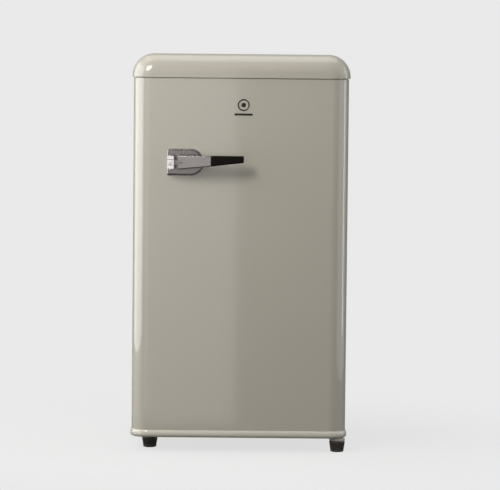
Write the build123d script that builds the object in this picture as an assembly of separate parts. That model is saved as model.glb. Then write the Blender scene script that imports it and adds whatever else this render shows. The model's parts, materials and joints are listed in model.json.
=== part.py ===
"""Retro single-door mini fridge: steel cabinet, foamed liner, hung door with a lever handle.

Millimetres, +Z up. The design frame has the floor at z = 0, the cabinet's centre plane at x = 0
and the cabinet's front plane at y = 0, with the front facing -Y. Every node is moved back or
forward as it is written, so that the finished object's box is centred on x = 0 and y = 0.
"""
from build123d import *
import os

# --- overall sizes ---------------------------------------------------------------------------
overall_height = 866.0
cap_width = 474.0
cabinet_depth = 385.0
sheet = 0.8                     # painted steel of the cabinet and the door
cabinet_bend = 4.0              # upper long edges of the wrapped sheet

# --- top cover -------------------------------------------------------------------------------
cap_height = 51.5               # from the lip to the crown
cap_wall = 3.0
cap_corner_radius = 48.0        # upper corners, seen from the front
cap_edge_radius = 40.0          # round of the whole front edge
cap_back_radius = 5.0
cap_side_overhang = 5.0         # past the cabinet's side
cap_front_overhang = 3.0        # ahead of the door
cap_back_overhang = 3.0
cap_lap = 5.5                   # how far the lip hangs below the cabinet's top
cap_web = 2.5                   # underside web above the door
cap_rib = 2.5
cap_tab_width = 18.0
cap_tab_drop = 16.0
cap_tab_x = 150.0
cap_rib_shares = (0.28, 0.56, 0.84)     # places of the cross ribs along the depth
cap_slot_radius = 9.0           # in the web, round the hinge pin
cap_screw_rise = 6.0            # screw above the tab's lower end
cap_screw_length = 12.0

# --- door ------------------------------------------------------------------------------------
door_thickness = 46.0
door_side_inset = 3.25          # from the cover's side
door_top_gap = 1.2
door_floor_gap = 2.5            # above the hinge bracket
gasket_gap = 12.0               # between the door and the cabinet
door_edge_radius = 37.0
door_return = 12.0              # flange of the skin at the back of the door
bead_height = 11.0
bead_proud = 3.0
bead_round = 5.4
door_cap_height = 9.0
door_cap_spigot = 10.0
door_cap_wall = 2.5
door_cap_drop = 0.3             # top cap below the skin's upper edge
collar_wall = 3.0               # round the hinge bushes
fit_clearance = 0.1             # between pieces that are pressed or snapped together

# --- hinge -----------------------------------------------------------------------------------
hinge_side_inset = 17.5         # axis to the door's side
hinge_front_inset = 24.0        # axis to the door's front
bracket_thickness = 3.0
bracket_length = 60.0
lower_nose_radius = 16.5
upper_nose_radius = 10.0
lower_pin_radius = 6.0
upper_pin_radius = 4.0
pin_reach = 16.0                # how far each pin stands into the door
pin_clearance = 0.05
bush_wall = 3.0
screw_radius = 2.0
screw_head_radius = 4.0
screw_head_height = 1.8
bracket_tail_reach = 34.0       # tail from the axis towards the middle
bracket_side_gap = 1.5
bracket_front_gap = 1.0
bracket_screw_front = 14.0      # behind the cabinet's front
bracket_screw_back = 12.0       # ahead of the tail's end
bracket_screw_near = 24.0       # from the axis
bracket_screw_far = 14.0        # from the cabinet's side
bracket_screw_length = 12.0

# --- feet ------------------------------------------------------------------------------------
foot_height = 24.0
foot_gap = 1.5                  # head of the foot to the plate above it
foot_top_radius = 17.0
foot_bottom_radius = 14.4
foot_rib_count = 24
foot_rib_depth = 1.0
foot_rib_width = 1.6
foot_rib_start = 4.0
foot_rib_end = 3.0              # below the foot's head
stud_radius = 3.0
stud_length = 14.0
stud_clearance = 0.1
left_foot_inset = 37.0          # from the cabinet's side
left_foot_back = 16.0           # behind the cabinet's front
rear_foot_radius = 15.0
rear_foot_inset = 37.0
rear_foot_back_inset = 35.0
rear_foot_taper = 2.0
foot_plate_half = 30.0
foot_plate_back = 42.0          # behind the foot's axis
foot_collar_height = 8.0

# --- insulation, liner and compressor bay ----------------------------------------------------
side_insulation = 40.0
top_insulation = 45.0
bottom_insulation = 45.0
back_insulation = 45.0
liner_wall = 1.5
liner_corner = 14.0
liner_flange = 5.7
seal_land_gap = 0.3             # between the liner's flange and the steel flange
bay_depth = 128.0
bay_height = 171.5
bay_insulation = 34.0           # ahead of the bay
bay_roof_insulation = 38.0
pan_sheet = 1.2
pan_rail_height = 14.0
vent_slot_places = (-140.0, -20.0, 100.0, 200.0)
vent_slot_length = 34.0
vent_slot_width = 7.0
screw_pocket = 14.0             # room in the foam behind a screw's seat
tube_channel = 9.0              # room in the foam round a line
channel_end = 12.0
panel_screw_inset = 14.0        # from the cabinet's side
panel_screw_low = 30.0          # above the bay
panel_screw_high = 60.0         # below the cabinet's top
panel_screw_rows = 4
panel_screw_length = 10.0
ledge_width = 6.0
ledge_height = 8.0
ledge_front = 105.0             # behind the cabinet's front
slide_clearance = 0.4

# --- shelves and crisper ---------------------------------------------------------------------
glass = 4.0
shelf_front = 112.0
shelf_back_gap = 12.0
shelf_count = 2
trim_height = 14.0
trim_depth = 9.0
crisper_front = 108.0
crisper_wall = 2.2
crisper_gap = 6.0
crisper_back_gap = 5.0          # ahead of the hump
crisper_corner = 10.0
crisper_lip_half = 70.0
crisper_lip_reach = 4.0
crisper_lip_drop = 18.0
crisper_lip_height = 6.0
glass_side_gap = 1.5
trim_lap = 10.0                 # rail over the glass
trim_round = 4.0

# --- freezer ---------------------------------------------------------------------------------
freezer_front = 138.0
freezer_frame_depth = 14.0
freezer_inner_height = 112.0
freezer_top_gap = 11.0
freezer_side_gap = 16.0
evaporator_sheet = 1.6
evaporator_back_gap = 9.0
evaporator_corner = 8.0
spacer_x = 110.0
spacer_inset = 50.0             # from the frame and from the cavity's back
spacer_radius = 6.0
frame_bar = 4.0
flap_clearance = 1.2
flap_thickness = 7.0
flap_pin_radius = 2.5
flap_pin_length = 5.0
flap_pin_rise = 4.5             # axis above the flap's bottom edge
flap_rim = 4.0
flap_face = 2.5
flap_lip_half = 45.0
tray_height = 14.0
tray_drop = 19.0                # below the freezer's floor
tray_wall = 1.8
tray_back_gap = 14.0
tray_front_reach = 10.0         # ahead of the freezer's frame

# --- thermostat and lamp ---------------------------------------------------------------------
housing_front = 190.0
housing_back = 290.0
housing_height = 58.0
housing_drop = 6.0              # below the tray's ledge
housing_reach = 30.0
housing_wall = 2.5
housing_round = 5.0
window_front = 38.0             # ahead of the housing's back
window_back = 8.0
knob_radius = 17.0
knob_depth = 12.0
knob_place = 28.0               # behind the housing's front
knob_flutes = 18
flute_radius = 1.2
shaft_radius = 3.0
shaft_length = 14.0
lamp_radius = 7.0
lamp_socket_radius = 5.0
lamp_inset = 14.0               # from the cavity's wall

# --- door liner, gasket and bins -------------------------------------------------------------
dyke_reach = 25.0               # into the cabinet
dyke_width = 14.5
dyke_side_clearance = 6.0
dyke_corner = 12.0
gasket_width = 18.0
gasket_inset = 20.0             # from the door's side
gasket_seat_gap = 0.35
bin_reach = 80.0                # how far the bins stand into the cabinet
bin_wall = 2.5
bin_height = 62.0
bin_count = 3
bin_floor_rise = 6.0            # lowest bin above the dyke
bin_lift_room = 46.0            # free height between the top bin and the freezer
boss_width = 6.0
boss_depth = 12.0
boss_height = 26.0
hook_clearance = 0.4
hook_height = 4.0
bin_corner = 14.0
bin_foot_round = 3.0
boss_drop = 14.0                # boss below the bin's rim
gasket_base = 3.0
gasket_lip = 3.5

# --- handle ----------------------------------------------------------------------------------
handle_drop = 181.8             # lever's middle below the door's top
handle_left = 74.4              # from the door's left side
base_length = 80.0
base_height = 57.6
base_thickness = 4.0
base_bevel = 2.2
barrel_radius = 9.0
barrel_height = 28.5
knuckle_height = 11.6
knuckle_clearance = 0.3
pivot_stand_off = 28.0          # pivot axis ahead of the door's face
lever_start = 14.5              # from the pivot axis
lever_length = 73.0
lever_left_height = 30.5
lever_mid_height = 23.0
lever_tip_height = 14.6
lever_thickness = 12.0
lever_lean = 13.0               # how far lever and grip together lean out at the tip
lever_chamfer = 2.0
tang_length = 30.0
tang_lap = 2.0
tang_thickness = 5.0
tang_inset = 5.0                # below the lever's top
tang_height = 14.0
grip_length = 70.0
grip_thickness = 15.0
grip_round = 4.0
grip_tip_round = 1.5
handle_pin_radius = 2.5
pin_head = 1.0
pin_head_lap = 1.5
handle_screw_reach = (-6.0, 18.0)       # from the plate's middle
spring_radius = 5.0
spring_wire = 0.45
spring_turns = 4
spring_pitch = 1.15
spring_gap = 0.4

# --- emblem ----------------------------------------------------------------------------------
emblem_drop = 57.3              # ring's middle below the door's top
emblem_x = 5.0                  # right of the door's middle
emblem_radius = 13.0
emblem_line = 2.8
emblem_dot_radius = 5.0
emblem_depth = 0.8
emblem_bar_drop = 20.5
emblem_bar_length = 40.0
emblem_bar_height = 4.4

# --- cooling circuit -------------------------------------------------------------------------
compressor_radius = 54.0
compressor_height = 128.0
compressor_x = -60.0
compressor_plate = 2.5
grommet_height = 12.0
grommet_radius = 9.0
tube_radius = 3.0
capillary_radius = 1.2
coil_tube_radius = 2.4
coil_stand_off = 16.0           # coil's middle behind the back panel
coil_side_inset = 42.0
coil_runs = 13
coil_bottom = 250.0
coil_top_inset = 70.0           # below the cabinet's top
coil_bend_radius = 17.0
wire_radius = 0.8
wire_count = 18
wire_inset = 24.0               # outermost wire from the coil's bends
wire_overhang = 12.0
wire_gap = 0.05
clip_inset = 30.0
clip_half_width = 7.0
clip_half_height = 6.0
line_bend = 12.0
suction_bend = 10.0
stub_rise = 60.0                # discharge stub above the compressor's foot
port_rise = 92.0                # suction port above the compressor's foot
line_side_gap = 14.0            # lines beside the coil
drier_radius = 8.0
drier_length = 70.0
drier_rise = 60.0
drier_cone = 10.0
relay_width = 26.0
relay_half_depth = 22.0
relay_rise = 34.0
relay_height = 46.0
drip_half_width = 62.0
drip_front = 50.0
drip_back = 52.0
drip_height = 13.0
drip_wall = 2.0
drip_corner = 8.0
gland_inset = 70.0
gland_half_width = 11.0
gland_depth = 16.0
gland_height = 22.0
gland_bore = 4.0
spout_wall = 1.2

# --- levels and planes worked out from the sizes above ----------------------------------------
cabinet_width = cap_width - 2 * cap_side_overhang
door_width = cap_width - 2 * door_side_inset
cap_lip = overall_height - cap_height
cabinet_top = cap_lip + cap_lap
plate_bottom = foot_height + foot_gap
cabinet_bottom = plate_bottom + bracket_thickness
door_bottom = cabinet_bottom + door_floor_gap
door_top = cap_lip - door_top_gap
door_back = -gasket_gap
door_front = door_back - door_thickness
cap_front = door_front - cap_front_overhang
cap_back = cabinet_depth + cap_back_overhang
half_cabinet = cabinet_width / 2
half_door = door_width / 2
hinge_x = half_door - hinge_side_inset
hinge_y = door_front + hinge_front_inset
cavity_half = half_cabinet - side_insulation
cavity_back = cabinet_depth - back_insulation
cavity_bottom = cabinet_bottom + bottom_insulation
cavity_top = cabinet_top - top_insulation
bay_front = cabinet_depth - bay_depth
bay_roof = cabinet_bottom + bay_height
hump_front = bay_front - bay_insulation
hump_top = bay_roof + bay_roof_insulation
freezer_top = cavity_top - freezer_top_gap
freezer_floor = freezer_top - freezer_inner_height
tray_bottom = freezer_floor - tray_drop
cover_glass_bottom = hump_top + slide_clearance
shelf_step = (tray_bottom - cover_glass_bottom - glass) / (shelf_count + 1)
shelf_levels = [cover_glass_bottom + glass + shelf_step * (i + 1) for i in range(shelf_count)]
land = liner_flange + seal_land_gap
dyke_half = cavity_half - dyke_side_clearance
dyke_bottom = cavity_bottom + dyke_side_clearance
dyke_top = cavity_top - dyke_side_clearance
bin_half = dyke_half - dyke_width - boss_width - hook_clearance
lowest_bin = dyke_bottom + dyke_width + bin_floor_rise
highest_bin = freezer_floor - bin_lift_room - bin_height
bin_step = (highest_bin - lowest_bin) / (bin_count - 1)
bin_levels = [lowest_bin + bin_step * i for i in range(bin_count)]
handle_z = door_top - handle_drop
base_left = -half_door + handle_left
pivot_x = base_left + barrel_radius - 0.6
pivot_y = door_front - pivot_stand_off
bay_middle = (bay_front + cabinet_depth) / 2
pan_top = cabinet_bottom + pan_sheet
coil_y = cabinet_depth + coil_stand_off
coil_half = half_cabinet - coil_side_inset
coil_top = cabinet_top - coil_top_inset
coil_step = (coil_top - coil_bottom) / (coil_runs - 1)
compressor_bottom = pan_top + grommet_height + compressor_plate
suction_x = compressor_x + 120.0
suction_y = cabinet_depth - 20.0
suction_top = (freezer_top + freezer_floor) / 2
capillary_x = suction_x + 24.0
drain_x = compressor_x
drain_y = cavity_back - 24.0
drain_radius = 5.0
beyond = 1.0                    # how far a cutting tool runs past the face that it opens


# --- helpers ---------------------------------------------------------------------------------
def block(x0, x1, y0, y1, z0, z1):
    """Box between two opposite corners."""
    middle = Pos((x0 + x1) / 2, (y0 + y1) / 2, (z0 + z1) / 2)
    return middle * Box(x1 - x0, y1 - y0, z1 - z0)


def sides(x0, x1, y0, y1, z0, z1):
    """The same box on the right and, mirrored, on the left."""
    return block(x0, x1, y0, y1, z0, z1) + block(-x1, -x0, y0, y1, z0, z1)


def rod(start, direction, radius, length):
    """Cylinder from a start point along a direction."""
    plane = Plane(origin=start, z_dir=direction)
    return plane * Cylinder(radius, length, align=(Align.CENTER, Align.CENTER, Align.MIN))


def facing_front(y):
    """Plane across the object at y: its x is X, its y is Z, and it faces -Y."""
    return Plane(origin=(0, y, 0), x_dir=(1, 0, 0), z_dir=(0, -1, 0))


def front_prism(face, y0, y1):
    """A face drawn in X and Z, filled from y0 to y1."""
    return extrude(facing_front(y1) * face, y1 - y0)


def plan_prism(face, z0, z1):
    """A face drawn in X and Y, filled from z0 to z1."""
    return extrude(Pos(0, 0, z0) * face, z1 - z0)


def rounded(half, z0, z1, radius):
    """Rounded rectangle in X and Z, centred on x = 0."""
    return Pos(0, (z0 + z1) / 2) * RectangleRounded(2 * half, z1 - z0, radius)


def ring(half, z0, z1, width, radius, y0, y1):
    """Rectangular ring that runs round the door or the cabinet's mouth."""
    inner = rounded(half - width, z0 + width, z1 - width, max(radius - width, 0.5))
    return front_prism(rounded(half, z0, z1, radius) - inner, y0, y1)


def tube(points, bends, radius):
    """Round tube along straight runs joined by tangent bends."""
    path = FilletPolyline(*points, radius=bends)
    section = Plane(origin=path @ 0, z_dir=path % 0) * Circle(radius)
    return sweep(section, path=path)


def screw(seat, direction, length):
    """Pan-head screw: the head stands on its seat, and the shank goes on along the direction."""
    x, y, z = seat
    dx, dy, dz = direction
    back = (x - dx * screw_head_height, y - dy * screw_head_height, z - dz * screw_head_height)
    head = rod(back, direction, screw_head_radius, screw_head_height)
    return head + rod(seat, direction, screw_radius, length)


# --- cabinet ---------------------------------------------------------------------------------
def cabinet_volume(inset):
    """The wrapped cabinet's volume, drawn in by an inset, with its sheet's bend radius."""
    half = half_cabinet - inset
    body = block(-half, half, inset, cabinet_depth, cabinet_bottom, cabinet_top - inset)
    long_edges = body.edges().filter_by(Axis.Y).group_by(Axis.Z)[-1]
    return fillet(long_edges, cabinet_bend - inset)


def mouth(growth, y0, y1):
    """The cabinet's front opening, larger than the cavity by a growth all round."""
    opening = rounded(cavity_half + growth, cavity_bottom - growth, cavity_top + growth,
                      liner_corner + growth)
    return front_prism(opening, y0, y1)


def cabinet_shell():
    """Sides, top and front flanges folded from one sheet, open below and behind."""
    inside = block(-half_cabinet + sheet, half_cabinet - sheet, sheet, cabinet_depth + 1,
                   cabinet_bottom - 1, cabinet_top - cabinet_bend)
    shell = cabinet_volume(0) - cabinet_volume(sheet) - inside - mouth(land, -1, 2 * sheet)
    for x, y, _ in upper_screw_places():
        shell -= rod((x, y, cabinet_top - 2), (0, 0, 1), screw_radius, 4)
    return shell


def cavity(growth):
    """The cold space over the compressor hump, larger by a growth; it runs out at the front."""
    half = cavity_half + growth
    box = block(-half, half, -1 if growth == 0 else 0, cavity_back + growth,
                cavity_bottom - growth, cavity_top + growth)
    box = fillet(box.edges().filter_by(Axis.Y), liner_corner + growth)
    hump = block(-half - 1, half + 1, hump_front + growth, cavity_back + growth + 1,
                 cavity_bottom - growth - 1, hump_top - growth)
    return box - hump


def ledges():
    """Moulded ledges that carry the shelves, the defrost tray and the crisper's glass."""
    rests = [(level - slide_clearance, cavity_back - 2) for level in shelf_levels]
    rests += [(tray_bottom - slide_clearance, cavity_back - 2), (hump_top, hump_front + 1)]
    return [sides(cavity_half - ledge_width, cavity_half + liner_wall / 2, ledge_front, back,
                  rest - ledge_height, rest) for rest, back in rests]


def drain_bore(z0, z1):
    """Hole of the defrost drain between two levels."""
    return rod((drain_x, drain_y, z0), (0, 0, 1), drain_radius, z1 - z0)


def inner_liner():
    """Vacuum-formed liner with its front flange, shelf ledges and drain hole."""
    flange = mouth(liner_flange, 0, liner_wall)
    liner = cavity(liner_wall) + flange - cavity(0) + ledges()
    liner -= drain_bore(hump_top - 10, hump_top + 1)
    liner -= rod((suction_x, cavity_back - 5, suction_top), (0, 1, 0), tube_radius, 10)
    return liner - rod((capillary_x, cavity_back - 5, suction_top), (0, 1, 0),
                       capillary_radius, 10)


def bay_volume(growth):
    """Compressor bay at the back of the base."""
    return block(-half_cabinet, half_cabinet, bay_front - growth, cabinet_depth + 1,
                 cabinet_bottom - 1, bay_roof + growth)


def insulation_foam():
    """Foamed-in-place insulation between the sheet, the liner and the bay."""
    half = half_cabinet - sheet
    fill = cabinet_volume(sheet) & block(-half, half, sheet, cabinet_depth - sheet, pan_top,
                                         cabinet_top)
    fill -= cavity(liner_wall) + mouth(liner_flange, -1, liner_wall) + bay_volume(pan_sheet)
    fill -= drain_bore(bay_roof, hump_top)
    rise = suction_top - bay_roof + channel_end
    for x, radius in ((suction_x, tube_radius), (capillary_x, capillary_radius)):
        fill -= rod((x, suction_y, bay_roof), (0, 0, 1), radius + tube_channel, rise)
    fill -= block(suction_x - channel_end, capillary_x + channel_end, cavity_back, suction_y,
                  suction_top - channel_end, suction_top + channel_end)
    fill -= rod(left_foot_place(pan_top), (0, 0, 1), 2 * stud_radius + 0.5, stud_length)
    for place in upper_screw_places() + lower_screw_places():
        for up in (1, -1):
            fill -= rod(place, (0, 0, up), screw_radius + 0.5, screw_pocket)
    for x, _, z in cap_screw_places() + panel_screw_places():
        fill -= rod((x, cabinet_depth - screw_pocket, z), (0, 1, 0), screw_radius + 0.5,
                    screw_pocket)
    return fill


def back_panel():
    """Flat galvanised panel that closes the foam behind, above the bay."""
    half = half_cabinet - sheet - fit_clearance
    panel = block(-half, half, cabinet_depth - sheet, cabinet_depth, bay_roof + pan_sheet,
                  cabinet_top - cabinet_bend)
    for place in cap_screw_places() + panel_screw_places():
        panel -= rod((place[0], cabinet_depth - 2, place[2]), (0, 1, 0), screw_radius, 4)
    return panel


def base_pan():
    """Steel pan under the foam, with the rail that carries the compressor."""
    half = half_cabinet - sheet - fit_clearance
    pan = block(-half, half, sheet + fit_clearance, bay_front, cabinet_bottom, pan_top)
    pan += block(-half, half, bay_front, cabinet_depth, cabinet_bottom, pan_top)
    pan += block(-half, half, cabinet_depth - pan_sheet, cabinet_depth, cabinet_bottom,
                 cabinet_bottom + pan_rail_height)
    pan -= rod(left_foot_place(cabinet_bottom - 1), (0, 0, 1), 2 * stud_radius + fit_clearance, 4)
    for place in lower_screw_places():
        pan -= rod((place[0], place[1], cabinet_bottom - 1), (0, 0, 1), screw_radius, 4)
    for x, y in grommet_places():
        pan -= rod((x, y, cabinet_bottom - 1), (0, 0, 1), screw_radius, 4)
    for x in vent_slot_places:
        slot = Pos(x, bay_middle) * SlotOverall(vent_slot_length, vent_slot_width, rotation=90)
        pan -= plan_prism(slot, cabinet_bottom - 1, pan_top + 1)
    return pan


def bay_panel():
    """Folded panel that closes the foam over and ahead of the compressor."""
    half = half_cabinet - sheet - fit_clearance
    panel = block(-half, half, bay_front - pan_sheet, bay_front, pan_top, bay_roof + pan_sheet)
    panel += block(-half, half, bay_front, cabinet_depth - sheet, bay_roof, bay_roof + pan_sheet)
    panel -= drain_bore(bay_roof - 1, bay_roof + 3)
    panel -= rod((suction_x, suction_y, bay_roof - 1), (0, 0, 1), tube_radius, 4)
    return panel - rod((capillary_x, suction_y, bay_roof - 1), (0, 0, 1), capillary_radius, 4)


def panel_screw_places():
    """Screws of the back panel, along both sides."""
    low = bay_roof + panel_screw_low
    step = (cabinet_top - panel_screw_high - low) / (panel_screw_rows - 1)
    x = half_cabinet - panel_screw_inset
    return [(side, cabinet_depth, low + step * i) for side in (-x, x)
            for i in range(panel_screw_rows)]


def back_panel_screws():
    """Sheet-metal screws of the back panel."""
    return [screw(place, (0, -1, 0), panel_screw_length) for place in panel_screw_places()]


# --- top cover -------------------------------------------------------------------------------
def cover_volume(inset, bottom):
    """The cover's rounded body, drawn in by an inset, down to a level."""
    half = cap_width / 2 - inset
    top = overall_height - inset
    corner = cap_corner_radius - inset
    outline = Pos(0, (bottom + top) / 2) * Rectangle(2 * half, top - bottom)
    outline = fillet(outline.vertices().group_by(Axis.Y)[-1], corner)
    body = front_prism(outline, cap_front + inset, cap_back - inset)
    front = body.faces().sort_by(Axis.Y)[0]
    rim = [e for e in front.edges() if e.center().Z > bottom + 0.1]
    body = fillet(rim, cap_edge_radius - inset)
    back = body.faces().sort_by(Axis.Y)[-1]
    rim = [e for e in back.edges() if e.center().Z > bottom + 0.1]
    return fillet(rim, cap_back_radius - inset)


def cap_screw_places():
    """Screws of the cover's two rear tabs."""
    z = cap_lip - cap_tab_drop + cap_screw_rise
    return [(x, cabinet_depth, z) for x in (-cap_tab_x, cap_tab_x)]


def top_cover():
    """Moulded cover with a web over the door, cross ribs and two screwed tabs behind."""
    outer = cover_volume(0, cap_lip)
    inner = cover_volume(cap_wall, cap_lip - 1)
    web = outer & block(-cap_width, cap_width, cap_front, 0, cap_lip, cap_lip + cap_web)
    slot = block(hinge_x - cap_slot_radius, hinge_x + cap_slot_radius, hinge_y, beyond,
                 cap_lip - beyond, cap_lip + cap_web + beyond)
    slot += rod((hinge_x, hinge_y, cap_lip - beyond), (0, 0, 1), cap_slot_radius,
                cap_web + 2 * beyond)
    cover = outer - inner + (web - slot)
    for share in cap_rib_shares:
        y = cabinet_depth * share
        rib = block(-cap_width, cap_width, y, y + cap_rib, cabinet_top + fit_clearance,
                    overall_height)
        cover += rib & cover_volume(cap_wall / 2, cap_lip)
    for x in (-cap_tab_x, cap_tab_x):
        cover += block(x - cap_tab_width / 2, x + cap_tab_width / 2, cabinet_depth
                       + fit_clearance, cap_back, cap_lip - cap_tab_drop, cap_lip + 4)
    for place in cap_screw_places():
        cover -= rod(place, (0, 1, 0), screw_radius, 10)
    return cover


def top_cover_screws():
    """Two screws through the cover's rear tabs."""
    return [screw((x, cap_back, z), (0, -1, 0), cap_screw_length)
            for x, _, z in cap_screw_places()]


# --- hinges ----------------------------------------------------------------------------------
def bracket_plate(nose, z0, z1):
    """Hinge plate: a screwed tail under or over the cabinet and a round nose at the axis."""
    right = half_cabinet - bracket_side_gap
    tail = block(hinge_x - bracket_tail_reach, right, bracket_front_gap, bracket_length, z0, z1)
    neck = block(hinge_x - nose, min(hinge_x + nose, right), hinge_y, bracket_front_gap, z0, z1)
    return tail + neck + rod((hinge_x, hinge_y, z0), (0, 0, 1), nose, z1 - z0)


def bracket_screw_places(level):
    """Three screws of one hinge plate."""
    near = hinge_x - bracket_screw_near
    far = half_cabinet - bracket_screw_far
    back = bracket_length - bracket_screw_back
    return [(near, bracket_screw_front, level), (near, back, level), (far, back, level)]


def upper_screw_places():
    """Seats of the upper plate's screws."""
    return bracket_screw_places(cabinet_top + bracket_thickness)


def lower_screw_places():
    """Seats of the lower plate's screws."""
    return bracket_screw_places(plate_bottom)


def lower_hinge_bracket():
    """Painted plate under the cabinet's right front corner."""
    plate = bracket_plate(lower_nose_radius, plate_bottom, cabinet_bottom)
    plate -= rod((hinge_x, hinge_y, plate_bottom - 1), (0, 0, 1), lower_pin_radius, 10)
    for place in lower_screw_places():
        plate -= rod((place[0], place[1], plate_bottom - 1), (0, 0, 1), screw_radius, 10)
    return plate


def upper_hinge_bracket():
    """Steel plate on the cabinet's top, under the cover."""
    plate = bracket_plate(upper_nose_radius, cabinet_top, cabinet_top + bracket_thickness)
    plate -= rod((hinge_x, hinge_y, cabinet_top - 1), (0, 0, 1), upper_pin_radius, 10)
    for place in upper_screw_places():
        plate -= rod((place[0], place[1], cabinet_top - 1), (0, 0, 1), screw_radius, 10)
    return plate


def lower_hinge_pin():
    """Hollow pin riveted in the plate: the door turns on it, the foot screws into it."""
    pin = rod((hinge_x, hinge_y, plate_bottom), (0, 0, 1), lower_pin_radius,
              door_bottom - plate_bottom + pin_reach)
    bore = stud_radius + stud_clearance
    return pin - rod((hinge_x, hinge_y, plate_bottom - 1), (0, 0, 1), bore, stud_length + 3)


def upper_hinge_pin():
    """Pin that hangs from the upper plate into the door's top."""
    top = cabinet_top + bracket_thickness
    return rod((hinge_x, hinge_y, top), (0, 0, -1), upper_pin_radius, top - door_top + pin_reach)


def hinge_screws():
    """Screws of both hinge plates."""
    lower = [screw(place, (0, 0, 1), bracket_screw_length) for place in lower_screw_places()]
    upper = [screw(place, (0, 0, -1), bracket_screw_length) for place in upper_screw_places()]
    return lower + upper


def bush(level, pin_radius):
    """Plastic bearing sleeve pressed into one end of the door."""
    outer = pin_radius + bush_wall
    sleeve = rod((hinge_x, hinge_y, level), (0, 0, 1), outer, pin_reach + 1)
    return sleeve - rod((hinge_x, hinge_y, level - 1), (0, 0, 1), pin_radius + pin_clearance,
                        pin_reach + 3)


def lower_hinge_bush():
    """Sleeve in the door's bottom cap."""
    return bush(door_bottom, lower_pin_radius)


def upper_hinge_bush():
    """Sleeve in the door's top cap."""
    return bush(door_top - pin_reach - 1, upper_pin_radius)


# --- feet ------------------------------------------------------------------------------------
def left_foot_place(level):
    """The left foot's axis at a level."""
    return (-half_cabinet + left_foot_inset, left_foot_back, level)


def levelling_foot(x, y):
    """Tapered foot with a ribbed grip and a threaded stud."""
    section = Polyline((0, 0), (foot_bottom_radius, 0), (foot_top_radius, foot_height),
                       (0, foot_height), close=True)
    body = revolve(Plane.XZ * make_face(section), Axis.Z)
    for i in range(foot_rib_count):
        groove = block(foot_bottom_radius - foot_rib_depth, foot_top_radius + 2,
                       -foot_rib_width / 2, foot_rib_width / 2, foot_rib_start,
                       foot_height - foot_rib_end)
        body -= Rot(0, 0, 360 / foot_rib_count * i) * groove
    body += rod((0, 0, foot_height), (0, 0, 1), stud_radius, stud_length)
    return Pos(x, y, 0) * body


def foot_plate_left():
    """Plate with a threaded collar for the left front foot."""
    x, y, _ = left_foot_place(0)
    plate = block(x - foot_plate_half, x + foot_plate_half, 2, y + foot_plate_back,
                  plate_bottom, cabinet_bottom)
    plate += rod((x, y, cabinet_bottom), (0, 0, 1), 2 * stud_radius, foot_collar_height)
    bore = stud_radius + stud_clearance
    return plate - rod((x, y, plate_bottom - 1), (0, 0, 1), bore, 20)


def front_left_foot():
    """Foot that screws into the left plate."""
    x, y, _ = left_foot_place(0)
    return levelling_foot(x, y)


def front_right_foot():
    """Foot that screws into the lower hinge pin."""
    return levelling_foot(hinge_x, hinge_y)


def rear_feet():
    """Two fixed rubber feet under the back of the base."""
    made = []
    for side in (-1, 1):
        x = side * (half_cabinet - rear_foot_inset)
        y = cabinet_depth - rear_foot_back_inset
        cone = Cone(rear_foot_radius - rear_foot_taper, rear_foot_radius, cabinet_bottom)
        made.append(Pos(x, y, cabinet_bottom / 2) * cone)
    return made


# --- door ------------------------------------------------------------------------------------
def door_volume(inset, z0, z1, back=None):
    """The door's rounded block, drawn in by an inset on the front and sides."""
    half = half_door - inset
    rear = door_back if back is None else back
    body = block(-half, half, door_front + inset, rear, z0, z1)
    front_edges = body.edges().filter_by(Axis.Z).group_by(Axis.Y)[0]
    return fillet(front_edges, door_edge_radius - inset)


def handle_screw_places():
    """Seats of the handle's two screws, on the back of the skin."""
    middle = base_left + base_length / 2
    return [(middle + reach, door_front + sheet, handle_z) for reach in handle_screw_reach]


def door_skin():
    """Front, sides and rear return flanges folded from one sheet."""
    bottom = door_bottom + bead_height + fit_clearance
    skin = door_volume(0, bottom, door_top)
    skin -= door_volume(sheet, bottom - 1, door_top + 1, door_back - sheet)
    half = half_door - door_return
    skin -= block(-half, half, door_back - 2 * sheet, door_back + 1, bottom - 1, door_top + 1)
    for x, y, z in handle_screw_places():
        skin -= rod((x, door_front - 1, z), (0, 1, 0), screw_radius, 3)
    return skin


def door_bottom_cap():
    """Moulded end cap: a half-round bead outside and a spigot inside the skin."""
    bead_top = door_bottom + bead_height
    bead = door_volume(-bead_proud, door_bottom, bead_top)
    rims = [e for e in bead.edges() if abs(e.center().Y - door_back) > 0.1
            and (abs(e.center().Z - door_bottom) < 0.1 or abs(e.center().Z - bead_top) < 0.1)]
    bead = fillet(rims, bead_round)
    inset = sheet + fit_clearance
    spigot = door_volume(inset, bead_top - 0.5, bead_top + door_cap_spigot, door_back - inset)
    hollow = door_volume(inset + door_cap_wall, bead_top - 5, bead_top + door_cap_spigot + 1,
                         door_back - inset - door_cap_wall)
    cap = bead + spigot - hollow
    collar = lower_pin_radius + bush_wall
    cap += rod((hinge_x, hinge_y, door_bottom + 1), (0, 0, 1), collar + collar_wall,
               pin_reach + 2)
    return cap - rod((hinge_x, hinge_y, door_bottom - 1), (0, 0, 1), collar, pin_reach + 9)


def door_top_cap():
    """Moulded end cap inside the top of the skin."""
    inset = sheet + fit_clearance
    cap = door_volume(inset, door_top - door_cap_height, door_top - door_cap_drop,
                      door_back - inset)
    collar = upper_pin_radius + bush_wall
    cap += rod((hinge_x, hinge_y, door_top - pin_reach - 3), (0, 0, 1), collar + collar_wall,
               pin_reach)
    return cap - rod((hinge_x, hinge_y, door_top - pin_reach - 5), (0, 0, 1), collar,
                     pin_reach + 9)


def dyke_volume(inset, y0):
    """Raised wall that runs round the back of the door, drawn in by an inset."""
    outer = rounded(dyke_half - inset, dyke_bottom + inset, dyke_top - inset,
                    dyke_corner - inset)
    width = dyke_width - 2 * inset
    inner = rounded(dyke_half - inset - width, dyke_bottom + inset + width,
                    dyke_top - inset - width, 2.0)
    return front_prism(outer - inner, y0, dyke_reach - inset)


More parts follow.
